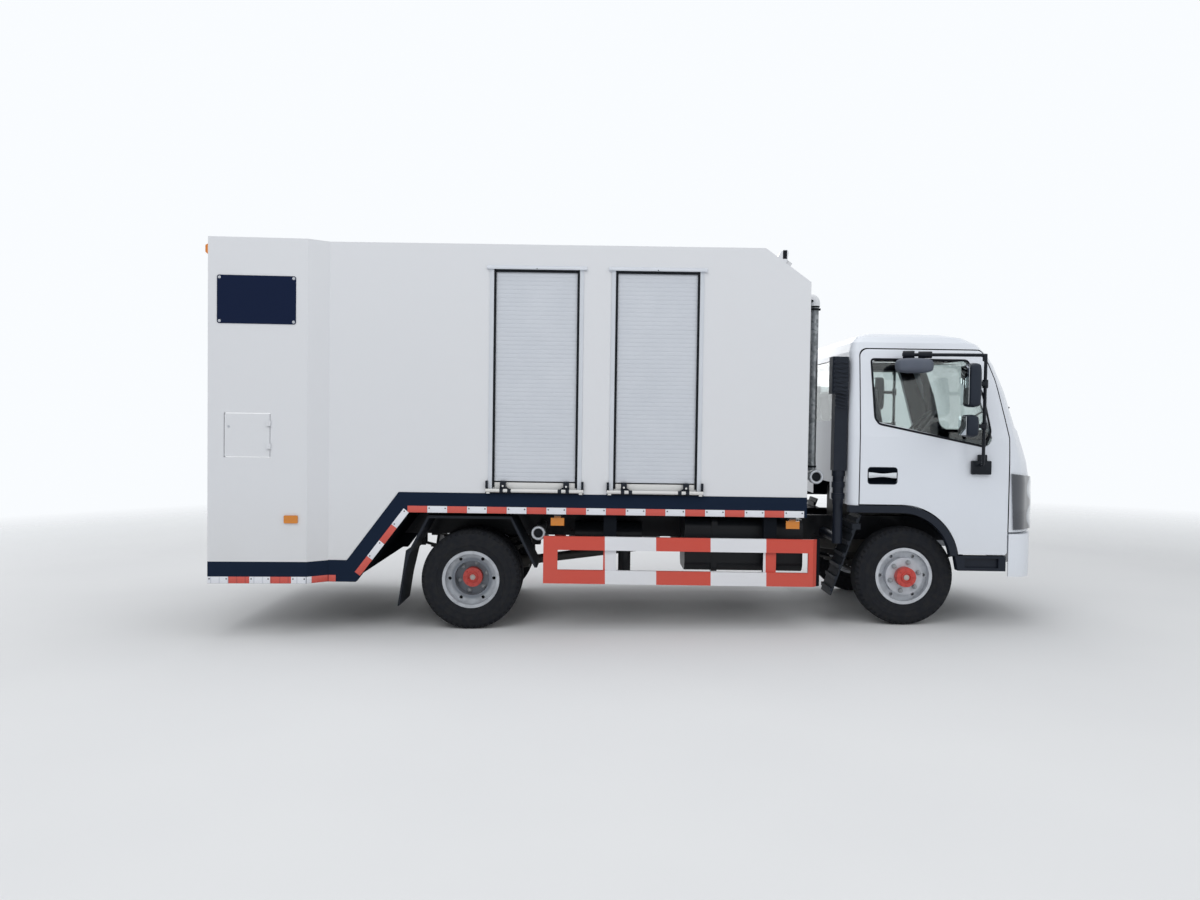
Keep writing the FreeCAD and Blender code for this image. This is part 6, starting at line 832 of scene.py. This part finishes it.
# Windows: tempered panes in black rubber channels, and a bonded laminated windscreen.
# Clear glass with a faint green-grey tint; the sky shows in it and the dark cabin behind it.
glass, glass_place = finish("tinted_float_glass", 0.02,
                            **{"Transmission Weight": 1.0, "IOR": 1.45, "Base Color": linear("#d6dedd"),
                               "Specular IOR Level": 0.2})
smear = add(glass, "TexNoise", {"Vector": glass_place, "Scale": 7.0, "Detail": 4.0})
wire(glass, "Roughness", add(glass, "MapRange", {0: smear, 3: 0.01, 4: 0.05}))
dress(glass, "cab_glass", "door_glass_left", "door_glass_right")


def door_side(height):
    """How far out the door's outer face stands at a height: upright to the belt, then leaning in."""
    rows = ((0.5, 0.945), (1.264, 0.945), (1.444, 0.942), (1.6, 0.929), (1.8, 0.907), (2.007, 0.881),
            (2.09, 0.867), (2.2, 0.82))
    for (low, wide), (high, narrow) in zip(rows, rows[1:]):
        if height <= high:
            return wide + (narrow - wide) * (height - low) / (high - low)
    return narrow


def ring(name, corners, radius, bend, lift):
    """A rubber section round an opening in the door, following its lean."""
    points = []
    for (along, up), (next_along, next_up) in zip(corners, corners[1:] + corners[:1]):
        for share in (0, 0.25, 0.5, 0.75):
            x, z = along + (next_along - along) * share, up + (next_up - up) * share
            points.append((x, -door_side(z) - lift, z))
    piece = drawn(name, points + points[:1])
    bpy.ops.mesh.remove_doubles(threshold=0.0001)
    corner_points = [points[step * 4] for step in range(len(corners))]
    bpy.ops.mesh.select_all(action="DESELECT")
    bpy.ops.object.mode_set(mode="OBJECT")
    for vertex in piece.data.vertices:
        spot = piece.matrix_world @ vertex.co
        vertex.select = any((spot - Vector(corner)).length < 0.001 for corner in corner_points)
    bpy.ops.object.mode_set(mode="EDIT")
    bpy.ops.mesh.bevel(offset=bend, segments=5, affect="VERTICES")
    bpy.ops.object.mode_set(mode="OBJECT")
    bpy.ops.object.convert(target="CURVE")
    bpy.context.object.data.bevel_depth, bpy.context.object.data.bevel_resolution = radius, 2
    bpy.ops.object.convert(target="MESH")
    bpy.context.object.name = name
    return smooth(settle(bpy.context.object, nose_down), 50)


window = [(3.012, 2.031), (3.037, 1.585), (3.069, 1.540), (3.869, 1.378), (3.910, 1.492), (3.854, 1.769),
          (3.742, 2.031)]
rubber_ring = ring("window_rubber_right", window, 0.0085, 0.022, -0.001)
on_both_sides(rubber_ring, seal_black, "right_door")

# Two wipers park along the foot of the windscreen: a pressed arm on a pivot, and a blade in its holder.
# Satin black, a little chalky; each point is laid on the glass by a line from the front.
def on_screen(across, up, off):
    """The point on the windscreen at a width and height, held off it towards the front."""
    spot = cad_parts["cab_glass"].ray_cast(Vector((4.0, across, up)), Vector((-1, 0, 0)))[1]
    return spot + Vector((off, 0, off / 2))


wipers = []
for start, far in ((-0.10, -0.64), (0.42, -0.06)):
    line = [on_screen(start + (far - start) * share, 1.560 + 0.10 * share, 0.014)
            for share in (0.0, 0.2, 0.4, 0.6, 0.8, 1.0)]
    wipers.append(rod("blade", line, 0.0075, 0, 8))
    wipers.append(rod("holder", [point + Vector((0.010, 0, 0.005)) for point in line[1:5]], 0.005, 0, 8))
    pivot = on_screen((start + far) / 2 + 0.28, 1.535, 0.016)
    wipers.append(rod("arm", [pivot, pivot + (line[3] - pivot) * 0.4 + Vector((0.016, 0, 0.01)),
                              line[2] + Vector((0.014, 0, 0.006))], 0.0065, 0.02, 8))
    wipers.append(disc("pivot_cap", pivot, (1, 0, 0.4), 0.017, 0.022, 24, 0.004))
fitted(joined("wipers", wipers), trim_black, "cab")

# Door handles: a chromed lift grip, waisted in the middle, across a dark moulded pocket in each door.
# Chrome over plastic mirrors the sky above and the ground below, so it shows as bright and dark bands.
chrome, chrome_place = finish("bright_chrome_plate", 0.08, 1.0)
tarnish = add(chrome, "TexNoise", {"Vector": chrome_place, "Scale": 60.0, "Detail": 4.0})
wire(chrome, "Base Color", add(chrome, "Mix", {0: tarnish, 6: "#dfe2e6", 7: "#c4c8ce"}, **blend))
wire(chrome, "Roughness", add(chrome, "MapRange", {0: tarnish, 3: 0.05, 4: 0.14}))
grip_start, grip_length, grip_height, grip_steps = 2.992, 0.214, 1.1535, 12
grip = block("door_grip_right", (grip_start, -0.9475, grip_height - 0.0225),
             (grip_start + grip_length, -0.9395, grip_height + 0.0225), 0.006)
bpy.ops.object.mode_set(mode="EDIT")
bpy.ops.mesh.select_all(action="SELECT")
for step in range(1, grip_steps):
    bpy.ops.mesh.bisect(plane_co=(grip_start + grip_length * step / grip_steps, 0, 0), plane_no=(1, 0, 0))
    bpy.ops.mesh.select_all(action="SELECT")
bpy.ops.object.mode_set(mode="OBJECT")
for vertex in grip.data.vertices:
    waist = cos(((vertex.co.x - grip_start) / grip_length - 0.5) * pi) ** 2
    vertex.co.z = grip_height + (vertex.co.z - grip_height) * (1 - 0.42 * waist)
    vertex.co.y -= 0.003 * waist
bezel = ring("handle_bezel_right", [(2.989, 1.087), (2.989, 1.212), (3.209, 1.212), (3.209, 1.087)], 0.0035,
             0.022, -0.0005)
for piece, material, slot in ((settle(grip, nose_down), chrome, "frame_silver"),
                              (bezel, trim_black, "black_plastic")):
    on_both_sides(piece, material, "right_door")

# Mirrors: a bent tube from a foot on the door to an arm over the window, with three moulded heads on it.
# Satin black tube, grained black shells, and the small kerb head in a greyer plastic; the glasses face back.
def shell(name, low, high, bulge):
    """A mirror head: a block rounded by subdivision, with a flat rim for the glass and a bulging back."""
    piece = block(name, low, high)
    modified(piece, "BEVEL", width=min(Vector(high) - Vector(low)) * bulge, segments=1, limit_method="NONE")
    return smooth(modified(piece, "SUBSURF", levels=3, render_levels=3), 80)


shell_black = moulded("grained_black_mirror_shell", "#1e2530", "#333842", 0.5)
shell_grey = moulded("grained_grey_mirror_shell", "#565c68", "#71767f", 0.5)
tube_black = enamel("satin_black_tube_coat", "#171b22", "#3d3e40", 0.35, shine=0.15)
silvered, silvered_place = finish("silvered_mirror_glass", 0.03, 1.0)
film = add(silvered, "TexNoise", {"Vector": silvered_place, "Scale": 20.0, "Detail": 3.0})
wire(silvered, "Base Color", add(silvered, "Mix", {0: film, 6: "#d5dadd", 7: "#c3c9cd"}, **blend))
tube_x, tube_y = 3.784, -1.130
tube = rod("mirror_tube", [(3.838, -0.955, 1.245), (3.800, -1.080, 1.245), (tube_x, tube_y, 1.262),
                           (tube_x, tube_y, 2.055), (3.60, -1.075, 2.058), (3.22, -0.960, 2.062)], 0.0125,
           0.035, 16, 6)
foot = [block("foot", (3.760, -0.985, 1.170), (3.907, -0.943, 1.274), 0.008),
        block("foot_boss", (3.808, -0.978, 1.255), (3.875, -0.948, 1.320), 0.006),
        disc("clamp", (tube_x, tube_y, 1.845), (0, 0, 1), 0.021, 0.062, 20, 0.003),
        disc("clamp", (tube_x, tube_y, 1.535), (0, 0, 1), 0.020, 0.055, 20, 0.003),
        disc("arm_sleeve", (3.378, -1.007, 2.060), (0.955, -0.29, 0), 0.026, 0.100, 24, 0.006),
        disc("arm_sleeve", (3.265, -0.973, 2.061), (0.955, -0.29, 0), 0.030, 0.085, 24, 0.006),
        block("main_arm", (3.672, -1.160, 1.828), (3.784, -1.118, 1.862), 0.006),
        block("wide_arm", (3.660, -1.160, 1.520), (3.784, -1.118, 1.550), 0.006),
        block("top_gusset", (3.764, -1.142, 2.010), (3.794, -1.112, 2.066), 0.006)]
heads = [shell("main_head", (3.600, -1.325, 1.668), (3.704, -1.120, 1.992), 0.25),
         shell("wide_head", (3.586, -1.325, 1.450), (3.692, -1.125, 1.620), 0.25)]
kerb = settle(shell("kerb_mirror_head_right", (3.152, -1.105, 1.918), (3.430, -0.955, 2.036), 0.25),
              nose_down)
glasses = [block("main_glass", (3.6005, -1.305, 1.690), (3.6035, -1.140, 1.970), 0.001),
           block("wide_glass", (3.5865, -1.305, 1.468), (3.5895, -1.145, 1.604), 0.001)]
frame_parts = settle(joined("mirror_frame_right", [tube] + foot), nose_down)
head_parts = settle(joined("mirror_heads_right", heads), nose_down)
glass_parts = settle(joined("mirror_glasses_right", glasses), nose_down)
for piece, material, slot in ((frame_parts, tube_black, "black_plastic"),
                              (head_parts, shell_black, "black_plastic"), (kerb, shell_grey, "black_plastic"),
                              (glass_parts, silvered, "frame_silver")):
    sides = on_both_sides(piece, material, "right_door")
    if piece is frame_parts:
        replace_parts(sides[0], "mirror_right")
        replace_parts(sides[1], "mirror_left")

# The air intake behind the cab: a blow-moulded box with a slotted head, and ribbed bellows to the filter.
# Fourteen slanted blades show on the kerb face, in the same black plastic with brighter edges.
blades = [settle(block("blade", (2.735, -0.9165, 0.0), (2.832, -0.9055, 0.007), 0.001),
                 Matrix.Translation((2.7835, 0, 1.66 + 0.0262 * step)) @ Matrix.Rotation(radians(14), 4, "Y")
                 @ Matrix.Translation((-2.7835, 0, 0))) for step in range(14)]
fitted(settle(joined("intake_blades", blades), nose_down), trim_black, "chassis")

# Headlamps and indicators: clear covers over reflector bowls, an amber corner and chromed bezels.
# Each bowl is a painted reflection, white in the middle and grey at the rim; downward faces get painted
# shade.
# From the side they read as dark glass with a pale reflection running down the nose edge.
lamp_dark, lamp_place = finish("smoked_polycarbonate_cover", 0.08,
                               **{"Coat Weight": 1.0, "Coat Roughness": 0.02})
lamp_spot = level_place(lamp_dark, lamp_place)
lamp_reach = add(lamp_dark, "Math", {0: lamp_spot[1]}, operation="ABSOLUTE")
lamp_tone_and_painted_reflectors = "#1d2430"
# Each bowl's colour is a painted reflection: white in its middle, fading to grey at its rim.
for bowl_height, bowl_radius in ((0.855, 0.085), (1.060, 0.088)):
    away = [add(lamp_dark, "Math", {0: lamp_reach, 1: 0.775}, operation="SUBTRACT"),
            add(lamp_dark, "Math", {0: lamp_spot[2], 1: bowl_height}, operation="SUBTRACT")]
    flat = add(lamp_dark, "CombineXYZ", {0: away[0], 1: away[1]})
    radius = add(lamp_dark, "VectorMath", {0: flat}, operation="LENGTH", out="Value")
    inside = add(lamp_dark, "MapRange", {0: radius, 1: bowl_radius, 2: bowl_radius - 0.004, 3: 0.0, 4: 1.0})
    depth = add(lamp_dark, "MapRange", {0: radius, 1: 0.014, 2: bowl_radius, 3: 0.0, 4: 1.0})
    lamp_tone_and_painted_reflectors = add(lamp_dark, "Mix",
                    {0: inside, 6: lamp_tone_and_painted_reflectors,
                     7: add(lamp_dark, "Mix", {0: depth, 6: "#eef1f4", 7: "#7f8791"}, **blend)}, **blend)
# Faces of the cover that look down are black: painted shade.
wire(lamp_dark, "Base Color", dark_below(lamp_dark, lamp_tone_and_painted_reflectors))
dress(lamp_dark, "headlamps")

# Seats: a bench for the crew in three places, each a foam cushion and back under sewn grey cloth.
# Knitted cloth is matt with a fine weave; seams pull in along the panels. They stand for the part's pads.
cloth, cloth_place = finish("knitted_grey_seat_cloth", 0.9, **{"Sheen Weight": 0.3, "Sheen Roughness": 0.5})
weft = add(cloth, "TexWave", {"Vector": cloth_place, "Scale": wave_spacing / 0.004, "Distortion": 1.5},
           bands_direction="X", out="Fac")
warp = add(cloth, "TexWave", {"Vector": cloth_place, "Scale": wave_spacing / 0.004, "Distortion": 1.5},
           bands_direction="Y", out="Fac")
weave = add(cloth, "Math", {0: weft, 1: warp}, operation="MULTIPLY")
wire(cloth, "Base Color", add(cloth, "Mix", {0: weave, 6: "#2b2f37", 7: "#474c56"}, **blend))
wire(cloth, "Normal", add(cloth, "Bump", {"Strength": 0.4, "Distance": 0.001, "Height": weave}))


def pad(name, low, high, channels):
    """A foam pad: a crowned form, blown up a little by a cloth simulation and drawn in along its seams."""
    low, high = Vector(low), Vector(high)
    bpy.ops.mesh.primitive_cube_add(size=1, location=(low + high) / 2)
    piece = bpy.context.object
    piece.name, piece.scale = name, (high - low) * 0.93
    modified(settle(piece), "BEVEL", width=0.028, segments=4, limit_method="NONE")
    piece.data.remesh_voxel_size = 0.012
    bpy.ops.object.voxel_remesh()
    start = [vertex.co.copy() for vertex in piece.data.vertices]
    blown = piece.modifiers.new("blown", "CLOTH")
    blown.settings.use_pressure, blown.settings.uniform_pressure_force = True, 4.0
    blown.settings.effector_weights.gravity = 0.0
    for moment in range(1, 13):
        bpy.context.scene.frame_set(moment)
    pick(piece)
    bpy.ops.object.modifier_apply(modifier=blown.name)
    bpy.context.scene.frame_set(1)
    most = 0.014
    for vertex, place in zip(piece.data.vertices, start):
        moved = vertex.co - place
        if moved.length > most:
            vertex.co = place + moved.normalized() * most
    middle = (low + high) / 2
    for vertex in piece.data.vertices:
        for axis, at in channels:
            near = max(0.0, 1 - abs(vertex.co[axis] - at) / 0.016)
            thin = 2 if (high - low).z < (high - low).x else 0
            vertex.co[thin] += (middle[thin] - vertex.co[thin]) * 0.13 * near * near
    for vertex in piece.data.vertices:
        for axis in range(3):
            vertex.co[axis] = min(max(vertex.co[axis], low[axis]), high[axis])
    return smooth(piece, 80)


seat_low = pad("seat_cushion", (2.985, -0.233, 1.142), (3.478, 0.233, 1.288),
               ((1, -0.14), (1, 0.14), (0, 3.36)))
seat_back = pad("seat_back", (0.0, -0.233, 0.0), (0.128, 0.233, 0.560), ((1, -0.14), (1, 0.14), (2, 0.40)))
settle(seat_back, Matrix.Translation((3.070, 0, 1.290)) @ Matrix.Rotation(radians(-11.1), 4, "Y"))
for side, place in ((-0.56, "right"), (0.0, "middle"), (0.56, "left")):
    for plain, part in ((seat_low, "cushion"), (seat_back, "back")):
        twin = twin_of(plain)
        twin.name = "seat_%s_%s" % (part, place)
        settle(twin, nose_down @ Matrix.Translation((0, side, 0)))
        fitted(twin, cloth, "cab")
        if part == "cushion" and place == "right":
            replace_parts(twin, "seats")
bpy.data.objects.remove(seat_low)
bpy.data.objects.remove(seat_back)

# Dashboard and steering wheel: one grained moulding across the cab, matt so that the windscreen stays clear.
# Its grain is moulded in, drawn at 4 mm, and a shade lighter than the lining.
dash_plastic = moulded("matt_grained_dash_moulding", "#2a2e36", "#41454c", 0.62, 0.004)
dress(dash_plastic, "dashboard")

# Bin lift at the tail: a channel mast, a tube carriage and a toothed comb, welded and sprayed grey.
# Its enamel is duller low down, where the wheels throw up dust.
lift_paint = enamel("grey_lift_enamel", "#5f656d", "#7b7a76", 0.42, 0.3, 1.2)
dress(lift_paint, "lift_mast", "lift_carriage", "bin_comb")

# A plain pale floor under the truck, soft overhead lamps and an even sky, with the background shown white.
# The floor keeps the truck's shadow; light levels are set so that a colour renders about as it is written.
floor_stone, floor_place = finish("pale_matt_floor", 0.9)
floor_cloud = add(floor_stone, "TexNoise", {"Vector": floor_place, "Scale": 0.7, "Detail": 2.0})
wire(floor_stone, "Base Color",
     add(floor_stone, "Mix", {0: floor_cloud, 6: "#dcdddf", 7: "#e2e3e4"}, **blend))
bpy.ops.mesh.primitive_circle_add(vertices=96, radius=14, fill_type="NGON", location=(0, 0, -0.001))
floor = settle(bpy.context.object)
edge_reach = add(floor_stone, "VectorMath", {0: floor_place}, operation="LENGTH", out="Value")
wire(floor_stone, "Alpha", add(floor_stone, "MapRange", {0: edge_reach, 1: 6.5, 2: 13.0, 3: 1.0, 4: 0.0}))
floor.name = "floor"
floor.data.materials.append(floor_stone)
world = bpy.data.worlds.new("even_pale_sky")
bpy.context.scene.world = world
world.use_nodes = True
sky = world.node_tree.nodes["Background"]
rays = add(world, "LightPath", out=None)
shown = add(world, "Math", {0: rays["Is Camera Ray"], 1: rays["Is Transmission Ray"]}, operation="MAXIMUM")
shown = add(world, "Math", {0: shown, 1: rays["Is Glossy Ray"]}, operation="MAXIMUM")
strength = add(world, "MapRange", {0: shown, 3: 0.48, 4: 1.0})
world.node_tree.links.new(strength, sky.inputs["Strength"])
sky.inputs["Color"].default_value = (0.95, 0.975, 1.0, 1.0)
for name, place, aim, size, power in (("key_softbox", (-3.5, -9.0, 8.0), (0, 0, 1.2), 7.0, 360),
                                      ("fill_softbox", (6.5, -7.5, 5.0), (1, 0, 1.2), 6.0, 170),
                                      ("roof_softbox", (0, 0, 9.5), (0, 0, 0), 8.0, 240),
                                      ("far_softbox", (0, 10, 6), (0, 0, 1), 8.0, 300),
                                      ("tail_softbox", (-11, 1, 5), (-1, 0, 1), 5.0, 170)):
    bpy.ops.object.light_add(type="AREA", location=place)
    lamp = bpy.context.object
    lamp.name, lamp.data.size, lamp.data.energy = name, size, power
    lamp.visible_glossy = name not in ("key_softbox", "fill_softbox")
    lamp.rotation_mode = "QUATERNION"
    lamp.rotation_quaternion = (Vector(aim) - Vector(place)).to_track_quat("-Z", "Y")
bpy.context.scene.view_settings.view_transform = "Standard"
